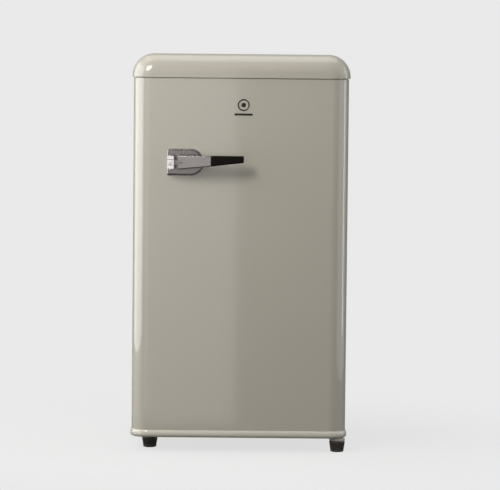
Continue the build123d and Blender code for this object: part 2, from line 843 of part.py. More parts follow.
def boss_level(bin_level):
    """Underside of the bosses that one bin hangs on."""
    return bin_level + bin_height - boss_height - boss_drop


def boss_y():
    """Front of the bosses."""
    return dyke_reach - boss_depth - 4


def door_liner():
    """Vacuum-formed inner door with its dyke and the bosses that the bins hang on."""
    half = half_door - door_return - fit_clearance
    top = door_top - door_cap_height - fit_clearance
    bottom = door_bottom + bead_height + door_cap_spigot + fit_clearance
    liner = block(-half, half, door_back - liner_wall, door_back, bottom, top)
    liner += dyke_volume(0, door_back - liner_wall)
    liner -= dyke_volume(liner_wall, door_back - liner_wall - 1)
    inner_face = dyke_half - dyke_width
    for level in bin_levels:
        z = boss_level(level)
        liner += sides(inner_face - boss_width, inner_face + liner_wall / 2, boss_y(),
                       boss_y() + boss_depth, z, z + boss_height)
    return liner


def door_foam():
    """Foamed-in-place insulation of the door, which also fills the dyke."""
    top = door_top - door_cap_height - fit_clearance
    bottom = door_bottom + bead_height + door_cap_spigot + fit_clearance
    fill = door_volume(sheet, bottom, top, door_back - liner_wall)
    fill += dyke_volume(liner_wall, door_back - liner_wall - 1)
    collar = lower_pin_radius + bush_wall + collar_wall + fit_clearance
    fill -= rod((hinge_x, hinge_y, door_bottom), (0, 0, 1), collar, pin_reach + 12)
    collar = upper_pin_radius + bush_wall + collar_wall + fit_clearance
    fill -= rod((hinge_x, hinge_y, door_top - pin_reach - 5), (0, 0, 1), collar, pin_reach + 5)
    for x, y, z in handle_screw_places():
        fill -= rod((x, y - 0.1, z), (0, 1, 0), screw_head_radius + 0.2, screw_head_height + 0.3)
    return fill


def door_gasket():
    """Magnetic seal: a base in the liner, a narrow bellows and a flat magnet lip."""
    half = half_door - gasket_inset
    z0 = cavity_bottom - land - gasket_width + 2.5
    z1 = cavity_top + land + gasket_width - 2.5
    base = ring(half, z0, z1, gasket_width, 10, door_back,
                door_back + gasket_base)
    bellows = ring(half - 3.5, z0 + 3.5, z1 - 3.5, gasket_width - 7, 6.5, door_back + 2,
                   -gasket_seat_gap - 2)
    lip = ring(half - 1, z0 + 1, z1 - 1, gasket_width - 2, 9,
               -gasket_seat_gap - gasket_lip, -gasket_seat_gap)
    return base + bellows + lip


def door_bin(level):
    """Open bin with hooks that drop over the liner's bosses."""
    back = door_back + 1.5
    outer = block(-bin_half, bin_half, back, bin_reach, level, level + bin_height)
    outer = fillet(outer.edges().filter_by(Axis.Z).group_by(Axis.Y)[-1], bin_corner)
    outer = fillet(outer.faces().sort_by(Axis.Z)[0].edges().sort_by(Axis.Y)[-3:],
                   bin_foot_round)
    inner = block(-bin_half + bin_wall, bin_half - bin_wall, back + bin_wall,
                  bin_reach - bin_wall, level + bin_wall, level + bin_height + 1)
    inner = fillet(inner.edges().filter_by(Axis.Z).group_by(Axis.Y)[-1], bin_corner - bin_wall)
    tray = outer - inner
    z = boss_level(level) + boss_height + hook_clearance
    y0 = boss_y() - hook_clearance
    y1 = boss_y() + boss_depth + hook_clearance
    reach = dyke_half - dyke_width - hook_clearance
    inside = bin_half - bin_wall / 2
    tray += sides(inside, reach, y0 - bin_wall, y1 + bin_wall, z, z + hook_height)
    tray += sides(inside, reach, y0 - bin_wall, y0, z - boss_height / 2, z + 2)
    tray += sides(inside, reach, y1, y1 + bin_wall, z - boss_height / 2, z + 2)
    return tray


# --- handle ----------------------------------------------------------------------------------
def handle_base():
    """D-shaped plate with a forked pivot barrel."""
    radius = base_height / 2
    straight = base_length - radius
    plate_face = Pos(base_left + straight / 2, handle_z) * Rectangle(straight, base_height)
    plate_face += Pos(base_left + straight, handle_z) * Circle(radius)
    plate_face = fillet(plate_face.vertices().group_by(Axis.X)[0], 4)
    plate = front_prism(plate_face, door_front - base_thickness, door_front)
    plate = chamfer(plate.faces().sort_by(Axis.Y)[0].edges(), base_bevel)
    z0 = handle_z - barrel_height / 2
    barrel = rod((pivot_x, pivot_y, z0), (0, 0, 1), barrel_radius, barrel_height)
    barrel = fillet(barrel.edges().filter_by(GeomType.CIRCLE), 1.5)
    cheek = block(pivot_x - barrel_radius, pivot_x + barrel_radius - 2, pivot_y,
                  door_front - base_thickness + 1, z0, z0 + barrel_height)
    cheek = fillet(cheek.edges().filter_by(Axis.Y), 1.5)
    post = barrel + cheek
    gap = knuckle_height / 2 + knuckle_clearance
    slot = block(pivot_x - barrel_radius - 1, pivot_x + barrel_radius + 1,
                 pivot_y - barrel_radius - 1, pivot_y + barrel_radius + 1, handle_z - gap,
                 handle_z + gap)
    base = plate + post - slot
    for x, _, z in handle_screw_places():
        base -= rod((x, door_front + 1, z), (0, -1, 0), screw_radius, base_thickness)
    base -= rod((pivot_x, pivot_y, z0 - 1), (0, 0, 1), handle_pin_radius, barrel_height + 2)
    return base


def handle_pin():
    """Pivot pin with low heads, pressed into the base's fork."""
    z0 = handle_z - barrel_height / 2
    pin = rod((pivot_x, pivot_y, z0 - pin_head), (0, 0, 1), handle_pin_radius,
              barrel_height + 2 * pin_head)
    for z in (z0 - pin_head, z0 + barrel_height):
        pin += rod((pivot_x, pivot_y, z), (0, 0, 1), handle_pin_radius + pin_head_lap, pin_head)
    return pin


def handle_outline(start, end):
    """Lever and grip seen from the front between two distances along it: level top, rising foot."""
    top = handle_z + lever_left_height / 2

    def foot(at):
        if at <= lever_length:
            share = at / lever_length
            return top - lever_left_height + (lever_left_height - lever_mid_height) * share
        share = (at - lever_length) / grip_length
        return top - lever_mid_height + (lever_mid_height - lever_tip_height) * share

    x0 = pivot_x + lever_start
    return make_face(Polyline((x0 + start, foot(start)), (x0 + end, foot(end)), (x0 + end, top),
                              (x0 + start, top), close=True))


def lever_plan(start, end, thickness):
    """Lever or grip seen from above: it leans out ahead of the pivot with an even thickness."""
    x0 = pivot_x + lever_start
    whole = lever_length + grip_length

    def middle(at):
        share = at / whole
        return pivot_y - lever_lean * (2 * share - share * share)

    steps = 6
    line = [(x0 + start + (end - start) * i / steps,
             middle(start + (end - start) * i / steps)) for i in range(steps + 1)]
    front = Spline(*[(x, y - thickness / 2) for x, y in line])
    back = Spline(*[(x, y + thickness / 2) for x, y in reversed(line)])
    close_end = Line(front @ 1, back @ 0)
    close_start = Line(back @ 1, front @ 0)
    return make_face([front, close_end, back, close_start])


def handle_lever():
    """Cast lever: knuckle, tongue, tapered arm and the tang inside the grip."""
    z0 = handle_z - knuckle_height / 2
    top = handle_z + lever_left_height / 2
    arm = front_prism(handle_outline(0, lever_length), pivot_y - 40, pivot_y + 40)
    arm &= plan_prism(lever_plan(0, lever_length, lever_thickness), handle_z - 30, handle_z + 30)
    arm = chamfer(arm.faces().sort_by(Axis.Y)[0].edges().filter_by(
        lambda e: e.length > lever_length / 2), lever_chamfer)
    tongue = block(pivot_x, pivot_x + lever_start + 4, pivot_y - barrel_radius + 2.5,
                   pivot_y + 4, z0, z0 + knuckle_height)
    knuckle = rod((pivot_x, pivot_y, z0), (0, 0, 1), barrel_radius - 0.1, knuckle_height)
    start = lever_length - tang_lap
    end = lever_length + tang_length
    tang = front_prism(handle_outline(start, end), pivot_y - 40, pivot_y + 40)
    tang &= plan_prism(lever_plan(start, end, tang_thickness), top - tang_inset - tang_height,
                       top - tang_inset)
    lever = arm + tongue + knuckle + tang
    pocket = spring_radius + 2 * spring_wire + spring_gap
    lever -= rod((pivot_x, pivot_y, z0 - 1), (0, 0, 1), pocket, 7)
    return lever - rod((pivot_x, pivot_y, z0 - 1), (0, 0, 1), handle_pin_radius + pin_clearance,
                       knuckle_height + 2)


def handle_grip():
    """Moulded grip pushed over the lever's tang."""
    length = lever_length + grip_length
    grip = front_prism(handle_outline(lever_length, length), pivot_y - 50, pivot_y + 40)
    grip &= plan_prism(lever_plan(lever_length, length, grip_thickness), handle_z - 30,
                       handle_z + 30)
    long_edges = grip.edges().filter_by(lambda e: e.length > grip_length / 2)
    grip = fillet(long_edges, grip_round)
    grip = fillet(grip.faces().sort_by(Axis.X)[-1].edges(), grip_tip_round)
    return grip - handle_lever()


def handle_spring():
    """Torsion spring round the pivot pin, in the lever's knuckle."""
    z0 = handle_z - knuckle_height / 2 + 0.7
    helix = Helix(pitch=spring_pitch, height=spring_pitch * spring_turns, radius=spring_radius)
    section = Plane(origin=helix @ 0, z_dir=helix % 0) * Circle(spring_wire)
    coil = sweep(section, path=helix, is_frenet=True)
    return Pos(pivot_x, pivot_y, z0) * coil


def handle_screws():
    """Two screws from inside the door into the handle's plate."""
    return [screw((x, y, z), (0, -1, 0), sheet + base_thickness - 1)
            for x, y, z in handle_screw_places()]


def emblem():
    """Plain ring over a plain bar, fixed to the door."""
    z = door_top - emblem_drop
    centre = Pos(emblem_x, z)
    ring_face = centre * (Circle(emblem_radius) - Circle(emblem_radius - emblem_line))
    dot_face = centre * Circle(emblem_dot_radius)
    bar_centre = Pos(emblem_x, z - emblem_bar_drop)
    bar_face = bar_centre * SlotOverall(emblem_bar_length, emblem_bar_height)
    return [front_prism(face, door_front - emblem_depth, door_front)
            for face in (ring_face, dot_face, bar_face)]


# --- inside the cabinet ----------------------------------------------------------------------
def glass_shelf(level):
    """Plain glass plate on the liner's ledges."""
    half = cavity_half - glass_side_gap
    return block(-half, half, shelf_front, cavity_back - shelf_back_gap, level, level + glass)


def shelf_trim(level):
    """Moulded front rail that clips on the glass, and the rear rail."""
    half = cavity_half - 2.0
    low = level - (trim_height - glass) / 2
    front = block(-half, half, shelf_front - trim_depth, shelf_front + trim_lap, low,
                  low + trim_height)
    front = fillet(front.edges().filter_by(Axis.X).group_by(Axis.Y)[0], trim_round)
    keep = half - ledge_width
    front -= sides(keep, half + 1, ledge_front - 1, shelf_front + 20, low - 1,
                   level + glass / 2)
    rear_y = cavity_back - shelf_back_gap
    rear = block(-keep, keep, rear_y - 8, rear_y + 3, low + 2, low + trim_height)
    return [front - glass_shelf(level), rear - glass_shelf(level)]


def crisper_glass():
    """Glass over the crisper, lying on the hump and on ledges at the sides."""
    half = cavity_half - glass_side_gap
    return block(-half, half, crisper_front, cavity_back - 3, cover_glass_bottom,
                 cover_glass_bottom + glass)


def crisper_drawer():
    """Open drawer with a finger lip, ahead of the hump."""
    half = cavity_half - crisper_gap - 2
    low = cavity_bottom + 1.5
    high = hump_top - ledge_height - 4
    back = hump_front - crisper_back_gap
    outer = block(-half, half, crisper_front, back, low, high)
    outer = fillet(outer.edges().filter_by(Axis.Z), crisper_corner)
    inner = block(-half + crisper_wall, half - crisper_wall, crisper_front + crisper_wall,
                  back - crisper_wall, low + crisper_wall, high + beyond)
    inner = fillet(inner.edges().filter_by(Axis.Z), crisper_corner - crisper_wall)
    drawer = outer - inner
    lip_low = high - crisper_lip_drop
    lip = block(-crisper_lip_half, crisper_lip_half, crisper_front - crisper_lip_reach,
                crisper_front + beyond, lip_low, lip_low + crisper_lip_height)
    return drawer + fillet(lip.edges().filter_by(Axis.X).group_by(Axis.Y)[0], 2)


def evaporator_box():
    """Folded aluminium evaporator, open in front, which is the freezer's wall."""
    half = cavity_half - freezer_side_gap
    front = freezer_front + freezer_frame_depth + 0.5
    back = cavity_back - evaporator_back_gap
    outer = block(-half, half, front, back, freezer_floor, freezer_top)
    outer = fillet(outer.edges().filter_by(Axis.Y), evaporator_corner)
    wall = evaporator_sheet
    inner = block(-half + wall, half - wall, front - 1, back - wall, freezer_floor + wall,
                  freezer_top - wall)
    inner = fillet(inner.edges().filter_by(Axis.Y), evaporator_corner - wall)
    return outer - inner


def evaporator_spacers():
    """Four spacers that hang the evaporator from the liner's roof."""
    depth = (freezer_front + spacer_inset, cavity_back - spacer_inset)
    return [rod((x, y, freezer_top), (0, 0, 1), spacer_radius, freezer_top_gap)
            for x in (-spacer_x, spacer_x) for y in depth]


def flap_axis():
    """Height and depth of the flap's pins."""
    return freezer_floor + flap_clearance + flap_pin_rise + 0.5, freezer_front + 5.5


def freezer_frame():
    """Moulded frame round the freezer's mouth, with the flap's bearings."""
    half = cavity_half - 0.5
    back = freezer_front + freezer_frame_depth
    opening = cavity_half - freezer_side_gap - 5
    outer = block(-half, half, freezer_front, back, freezer_floor - frame_bar,
                  cavity_top - 0.5)
    outer = fillet(outer.edges().filter_by(Axis.Y).group_by(Axis.Z)[-1], liner_corner)
    frame = outer - block(-opening, opening, freezer_front - 1, back + 1, freezer_floor,
                          freezer_top)
    z, y = flap_axis()
    hole = flap_pin_radius + pin_clearance
    return frame - rod((-opening - flap_pin_length - 1, y, z), (1, 0, 0), hole,
                       2 * (opening + flap_pin_length + 1))


def freezer_flap():
    """Flap hinged on two stub pins at its bottom edge, with a finger lip on top."""
    half = cavity_half - freezer_side_gap - 5 - flap_clearance
    z, y = flap_axis()
    low = z - flap_pin_rise
    high = freezer_top - flap_clearance
    front = y - flap_thickness / 2 + 0.8
    flap = block(-half, half, front, front + flap_thickness, low, high)
    flap = fillet(flap.edges().filter_by(Axis.X), 1.5)
    flap -= block(-half + flap_rim, half - flap_rim, front + flap_face,
                  front + flap_thickness + beyond, low + 10, high - flap_rim)
    flap += block(-flap_lip_half, flap_lip_half, front - 2.6, front + beyond, high - 12,
                  high - 6)
    reach = half + flap_clearance + flap_pin_length
    return flap + rod((-reach, y, z), (1, 0, 0), flap_pin_radius, 12) + rod(
        (reach, y, z), (-1, 0, 0), flap_pin_radius, 12)


def defrost_tray():
    """Shallow tray on ledges under the freezer."""
    half = cavity_half - 2.0
    front = freezer_front - tray_front_reach
    back = cavity_back - tray_back_gap
    top = tray_bottom + tray_height
    outer = block(-half, half, front, back, tray_bottom, top)
    inner = block(-half + tray_wall, half - tray_wall, front + tray_wall, back - tray_wall,
                  tray_bottom + tray_wall, top + beyond)
    return outer - inner


def thermostat_place():
    """Front, back, bottom and top of the thermostat's housing on the right wall."""
    top = tray_bottom - ledge_height - slide_clearance - housing_drop
    return housing_front, housing_back, top - housing_height, top


def thermostat_housing():
    """Hollow cover on the right wall for the thermostat and the lamp."""
    y0, y1, z0, z1 = thermostat_place()
    x0 = cavity_half - housing_reach
    outer = block(x0, cavity_half - 0.2, y0, y1, z0, z1)
    outer = fillet(outer.edges().group_by(Axis.X)[0], housing_round)
    wall = housing_wall
    hollow = block(x0 + wall, cavity_half + beyond, y0 + wall, y1 - wall, z0 + wall, z1 - wall)
    window = block(x0 - beyond, x0 + wall + 0.5, y1 - window_front, y1 - window_back,
                   z0 + window_back, z1 - window_back)
    shaft = rod((x0 - beyond, y0 + knob_place, (z0 + z1) / 2), (1, 0, 0),
                shaft_radius + pin_clearance, 2 * wall)
    return outer - hollow - window - shaft


def thermostat_knob():
    """Fluted knob with a pointer and a shaft in the housing."""
    y0, _, z0, z1 = thermostat_place()
    x0 = cavity_half - housing_reach - 0.5
    y = y0 + knob_place
    z = (z0 + z1) / 2
    knob = rod((x0, y, z), (-1, 0, 0), knob_radius, knob_depth)
    knob = fillet(knob.edges().filter_by(GeomType.CIRCLE).group_by(Axis.X)[0], 2)
    groove = rod((x0 - knob_depth - beyond, y + knob_radius, z), (1, 0, 0), flute_radius,
                 knob_depth + 3 * beyond)
    for i in range(knob_flutes):
        knob -= Pos(0, y, z) * Rot(360 / knob_flutes * i, 0, 0) * Pos(0, -y, -z) * groove
    knob += block(x0 - knob_depth - 1.2, x0 - knob_depth + 1, y - 1.5, y + 1.5, z + 2,
                  z + knob_radius - 3)
    return knob + rod((x0 - beyond, y, z), (1, 0, 0), shaft_radius, shaft_length)


def lamp_window():
    """Frosted window in the thermostat's housing."""
    _, y1, z0, z1 = thermostat_place()
    x0 = cavity_half - housing_reach
    gap = fit_clearance
    return block(x0 + 0.4, x0 + housing_wall, y1 - window_front + gap, y1 - window_back - gap,
                 z0 + window_back + gap, z1 - window_back - gap)


def lamp():
    """Small lamp behind the window."""
    _, y1, z0, z1 = thermostat_place()
    x = cavity_half - lamp_inset
    y = y1 - (window_front + window_back) / 2
    z = (z0 + z1) / 2
    bulb = Pos(x, y, z + 8) * Sphere(lamp_radius)
    return bulb + rod((x, y, z - 16), (0, 0, 1), lamp_socket_radius, 20)


# --- cooling circuit -------------------------------------------------------------------------
def grommet_places():
    """Axes of the compressor's four mounts."""
    reach_x = compressor_radius + 14
    reach_y = compressor_radius - 12
    return [(compressor_x + i * reach_x, bay_middle + j * reach_y) for i in (-1, 1)
            for j in (-1, 1)]


def compressor():
    """Sealed compressor: two pressed shells with a weld seam, on a foot plate with stubs."""
    low = compressor_bottom
    r = compressor_radius
    h = compressor_height
    outline = Polyline((0, 0), (r - 10, 0), (r - 2, 10), (r - 2, 0.52 * h), (r, 0.52 * h),
                       (r, 0.58 * h), (r - 4, 0.58 * h), (r - 4, 0.8 * h), (r - 18, h - 6),
                       (0, h), close=True)
    body = revolve(Plane.XZ * make_face(outline), Axis.Z)
    body = Pos(compressor_x, bay_middle, low) * body
    reach_x = r + 22
    reach_y = r - 4
    plate = block(compressor_x - reach_x, compressor_x + reach_x, bay_middle - reach_y,
                  bay_middle + reach_y, low - compressor_plate, low + 1)
    notches = block(compressor_x - reach_x - 1, compressor_x + reach_x + 1, bay_middle - 20,
                    bay_middle + 20, low - 9, low)
    plate -= notches - block(compressor_x - r + 4, compressor_x + r - 4, bay_middle - 21,
                             bay_middle + 21, low - 9, low)
    for x, y in grommet_places():
        plate -= rod((x, y, low - 9), (0, 0, 1), screw_radius + 0.3, 20)
    stub = rod((compressor_x - r + 6, bay_middle, low + stub_rise), (-1, 0, 0), tube_radius, 24)
    port = rod((compressor_x + r - 10, bay_middle, low + port_rise), (1, 0, 0),
               tube_radius + 0.8, 12)
    return body + plate + stub + port


def compressor_grommets():
    """Rubber mounts between the compressor's plate and the pan."""
    made = []
    for x, y in grommet_places():
        mount = rod((x, y, pan_top), (0, 0, 1), grommet_radius, grommet_height)
        made.append(mount - rod((x, y, pan_top - 1), (0, 0, 1), screw_radius + 0.3,
                                grommet_height + 2))
    return made


def compressor_bolts():
    """Bolts through the mounts."""
    made = []
    for x, y in grommet_places():
        seat = (x, y, compressor_bottom + 1)
        made.append(screw(seat, (0, 0, -1), compressor_bottom + 1 - cabinet_bottom))
    return made


def starter_relay_cover():
    """Cover of the starting relay on the compressor's side."""
    x0 = compressor_x + compressor_radius + 1
    low = compressor_bottom + relay_rise
    cover = block(x0, x0 + relay_width, bay_middle - relay_half_depth,
                  bay_middle + relay_half_depth, low, low + relay_height)
    return fillet(cover.edges().group_by(Axis.X)[-1], 4)


def drip_tray():
    """Evaporation tray on the compressor's crown."""
    low = compressor_bottom + compressor_height + 0.2
    outer = block(compressor_x - drip_half_width, compressor_x + drip_half_width,
                  bay_middle - drip_front, bay_middle + drip_back, low, low + drip_height)
    outer = fillet(outer.edges().filter_by(Axis.Z), drip_corner)
    half = drip_half_width - drip_wall
    inner = block(compressor_x - half, compressor_x + half, bay_middle - drip_front + drip_wall,
                  bay_middle + drip_back - drip_wall, low + drip_wall, low + drip_height + beyond)
    return outer - fillet(inner.edges().filter_by(Axis.Z), drip_corner - drip_wall)


def drain_spout():
    """Drain from the cold space to the evaporation tray."""
    low = compressor_bottom + compressor_height + 5
    spout = drain_bore(low, hump_top - liner_wall)
    return spout - rod((drain_x, drain_y, low - 1), (0, 0, 1), drain_radius - spout_wall,
                       hump_top - low + 2)


def suction_line():
    """Return line from the evaporator to the compressor."""
    low = compressor_bottom + port_rise
    start = (compressor_x + compressor_radius + 2, bay_middle, low)
    points = [start, (suction_x, bay_middle, low), (suction_x, suction_y, low),
              (suction_x, suction_y, suction_top),
              (suction_x, cavity_back - evaporator_back_gap, suction_top)]
    return tube(points, suction_bend, tube_radius)


def filter_drier():
    """Copper filter between the condenser and the capillary."""
    x = capillary_x
    low = pan_top + drier_rise
    high = low + drier_length
    body = rod((x, suction_y, low), (0, 0, 1), drier_radius, drier_length)
    neck = Cone(drier_radius, capillary_radius + 0.5, drier_cone)
    body += Pos(x, suction_y, high + drier_cone / 2) * neck
    foot = Cone(coil_tube_radius, drier_radius, drier_cone)
    return body + Pos(x, suction_y, low - drier_cone / 2) * foot


def capillary_tube():
    """Thin line from the filter to the evaporator."""
    start = (capillary_x, suction_y, pan_top + drier_rise + drier_length + drier_cone)
    points = [start, (capillary_x, suction_y, suction_top),
              (capillary_x, cavity_back - evaporator_back_gap, suction_top)]
    return tube(points, suction_bend, capillary_radius)


def condenser_coil():
    """Serpentine tube behind the back panel."""
    points = []
    for i in range(coil_runs):
        z = coil_top - coil_step * i
        ends = (-coil_half, coil_half) if i % 2 == 0 else (coil_half, -coil_half)
        points += [(ends[0], coil_y, z), (ends[1], coil_y, z)]
    bend = min(coil_bend_radius, 0.49 * coil_step)
    return tube(points, bend, coil_tube_radius)


def condenser_wires():
    """Upright wires in one row behind the coil."""
    made = []
    span = 2 * (coil_half - wire_inset)
    for i in range(wire_count):
        x = -span / 2 + span * i / (wire_count - 1)
        y = coil_y + coil_tube_radius + wire_radius + wire_gap
        start = (x, y, coil_bottom - wire_overhang)
        length = coil_top - coil_bottom + 2 * wire_overhang
        made.append(rod(start, (0, 0, 1), wire_radius, length))
    return made


def condenser_clips():
    """Moulded clips that hold the coil off the back panel."""
    made = []
    for x in (-coil_half + clip_inset, coil_half - clip_inset):
        for z in (coil_bottom, coil_top):
            clip = block(x - clip_half_width, x + clip_half_width, cabinet_depth,
                         coil_y + coil_tube_radius, z - clip_half_height, z + clip_half_height)
            clip -= rod((x - clip_half_width - beyond, coil_y, z), (1, 0, 0),
                        coil_tube_radius + pin_clearance, 2 * (clip_half_width + beyond))
            made.append(clip)
    return made


def discharge_line():
    """Hot line from the compressor to the top of the condenser."""
    low = compressor_bottom + stub_rise
    start = (compressor_x - compressor_radius - 18, bay_middle, low)
    x = -coil_half - line_side_gap
    points = [start, (x, bay_middle, low), (x, coil_y, low), (x, coil_y, coil_top),
              (-coil_half, coil_y, coil_top)]
    return tube(points, line_bend, coil_tube_radius)


def liquid_line():
    """Line from the bottom of the condenser round to the filter."""
    x = coil_half + line_side_gap
    low = pan_top + 25
    points = [(coil_half, coil_y, coil_bottom), (x, coil_y, coil_bottom), (x, coil_y, low),
              (x, suction_y, low), (capillary_x, suction_y, low),
              (capillary_x, suction_y, pan_top + drier_rise - drier_cone)]
    return tube(points, line_bend, coil_tube_radius)


def mains_gland():
    """Clamp in the back of the base that the mains lead comes out of."""
    x = half_cabinet - gland_inset
    gland = block(x - gland_half_width, x + gland_half_width, cabinet_depth - gland_depth,
                  cabinet_depth - pan_sheet, pan_top, pan_top + gland_height)
    gland = fillet(gland.edges().filter_by(Axis.Y), 3)
    return gland - rod((x, cabinet_depth - 30, pan_top + 15), (0, 1, 0), gland_bore, 40)


# --- writing ---------------------------------------------------------------------------------
def all_nodes():
    """Every node's solids by name, in the design frame."""
    nodes = {
        "cabinet_shell": cabinet_shell(),
        "inner_liner": inner_liner(),
        "insulation_foam": insulation_foam(),
        "back_panel": back_panel(),
        "rear_screws": back_panel_screws() + top_cover_screws(),
        "base_pan": base_pan(),
        "compressor_bay_panel": bay_panel(),
        "top_cover": top_cover(),
        "upper_hinge_bracket": upper_hinge_bracket(),
        "lower_hinge_bracket": lower_hinge_bracket(),
        "hinge_pins": [lower_hinge_pin(), upper_hinge_pin()],
        "hinge_screws": hinge_screws(),
        "foot_plate_left": foot_plate_left(),
        "front_left_foot": front_left_foot(),
        "front_right_foot": front_right_foot(),
        "rear_feet": rear_feet(),
        "door_skin": door_skin(),
        "door_top_cap": door_top_cap(),
        "door_bottom_cap": door_bottom_cap(),
        "door_foam": door_foam(),
        "door_liner": door_liner(),
        "door_gasket": door_gasket(),
        "hinge_bushes": [lower_hinge_bush(), upper_hinge_bush()],
        "handle_base": handle_base(),
        "handle_lever": handle_lever(),
        "handle_grip": handle_grip(),
        "handle_pin": handle_pin(),
        "handle_spring": handle_spring(),
        "handle_screws": handle_screws(),
        "emblem": emblem(),
        "crisper_glass": crisper_glass(),
        "crisper_drawer": crisper_drawer(),
        "evaporator_box": evaporator_box(),
        "evaporator_spacers": evaporator_spacers(),
        "freezer_frame": freezer_frame(),
        "freezer_flap": freezer_flap(),
        "defrost_tray": defrost_tray(),
        "thermostat_housing": thermostat_housing(),
        "thermostat_knob": thermostat_knob(),
        "lamp_window": lamp_window(),
        "lamp": lamp(),
        "compressor": compressor(),
        "compressor_grommets": compressor_grommets(),
        "compressor_bolts": compressor_bolts(),
        "starter_relay_cover": starter_relay_cover(),
        "drip_tray": drip_tray(),
        "drain_spout": drain_spout(),
        "refrigerant_lines": [suction_line(), discharge_line(), liquid_line(), capillary_tube()],
        "filter_drier": filter_drier(),
        "condenser_coil": condenser_coil(),
        "condenser_wires": condenser_wires(),
        "condenser_clips": condenser_clips(),
        "mains_gland": mains_gland(),
    }
    names = ("lower", "upper")
    for name, level in zip(names, shelf_levels):
        nodes[f"{name}_shelf_glass"] = glass_shelf(level)
        nodes[f"{name}_shelf_trims"] = shelf_trim(level)
    for name, level in zip(("lower", "middle", "upper"), bin_levels):
        nodes[f"{name}_door_bin"] = door_bin(level)
    return nodes


def as_solids(made):
    """The separate solids of one node."""
    pieces = made if isinstance(made, list) else [made]
    return [solid for piece in pieces for solid in piece.solids()]


def main():
    os.makedirs("parts", exist_ok=True)
    nodes = {name: as_solids(made) for name, made in all_nodes().items()}
    boxes = [Compound(solids).bounding_box() for solids in nodes.values()]
    shift = -(min(b.min.Y for b in boxes) + max(b.max.Y for b in boxes)) / 2
    print(f"moved along Y by {shift:.4f}")
    for name, solids in nodes.items():
        export_step(Pos(0, shift, 0) * Compound(solids), f"parts/{name}.step")


main()
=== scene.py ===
"""Retro mini fridge: finishes and detailed pieces around a fixed frame of parts."""

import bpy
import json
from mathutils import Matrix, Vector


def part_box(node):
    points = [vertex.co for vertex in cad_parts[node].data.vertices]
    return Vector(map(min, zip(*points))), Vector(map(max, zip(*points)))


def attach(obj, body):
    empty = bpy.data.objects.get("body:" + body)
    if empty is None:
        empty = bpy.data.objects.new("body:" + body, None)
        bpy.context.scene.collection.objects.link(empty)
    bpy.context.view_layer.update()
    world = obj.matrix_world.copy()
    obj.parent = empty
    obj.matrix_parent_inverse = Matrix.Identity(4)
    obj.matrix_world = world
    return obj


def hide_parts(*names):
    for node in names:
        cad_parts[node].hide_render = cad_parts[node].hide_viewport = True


bl_info = {
    "name": "Retro Mini Fridge",
    "version": (1, 0, 0),
    "blender": (4, 5, 0),
    "location": "View3D > Sidebar > Fridge",
    "description": "Builds the pieces, the finishes and the studio of a retro mini fridge",
    "category": "Add Mesh",
}

import json
import math

import bmesh
import bpy
import numpy as np
from bpy.props import FloatProperty, FloatVectorProperty, IntProperty, PointerProperty
from bpy.types import Operator, Panel, PropertyGroup
from mathutils import Matrix, Vector

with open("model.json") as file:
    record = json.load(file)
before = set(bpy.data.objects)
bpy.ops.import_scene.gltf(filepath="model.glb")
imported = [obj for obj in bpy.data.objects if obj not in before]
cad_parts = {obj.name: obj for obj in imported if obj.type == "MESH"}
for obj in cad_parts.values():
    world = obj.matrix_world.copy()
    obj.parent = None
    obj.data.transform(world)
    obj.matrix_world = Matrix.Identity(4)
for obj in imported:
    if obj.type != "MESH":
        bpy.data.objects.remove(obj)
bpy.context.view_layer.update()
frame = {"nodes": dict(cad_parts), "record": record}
SLOT_OF = {part["node"]: part["material_slot"] for part in frame["record"]["subparts"]}
BODY_OF = {node: body for body, nodes in frame["record"]["behaviour"]["bodies"].items()
           for node in nodes}


# --- shader maths ---
class Value:
    """A number from a node's socket; arithmetic on it adds Math nodes."""

    def __init__(self, finish, socket):
        self.finish = finish
        self.socket = socket

    def math(self, operation, first, second):
        """A Math node over two numbers or values."""
        node = self.finish.node("ShaderNodeMath", {"operation": operation}, {0: first, 1: second})
        return Value(self.finish, node.outputs[0])

    def __add__(self, other):
        return self.math("ADD", self, other)

    def __radd__(self, other):
        return self.math("ADD", other, self)

    def __sub__(self, other):
        return self.math("SUBTRACT", self, other)

    def __rsub__(self, other):
        return self.math("SUBTRACT", other, self)

    def __mul__(self, other):
        return self.math("MULTIPLY", self, other)

    def __rmul__(self, other):
        return self.math("MULTIPLY", other, self)


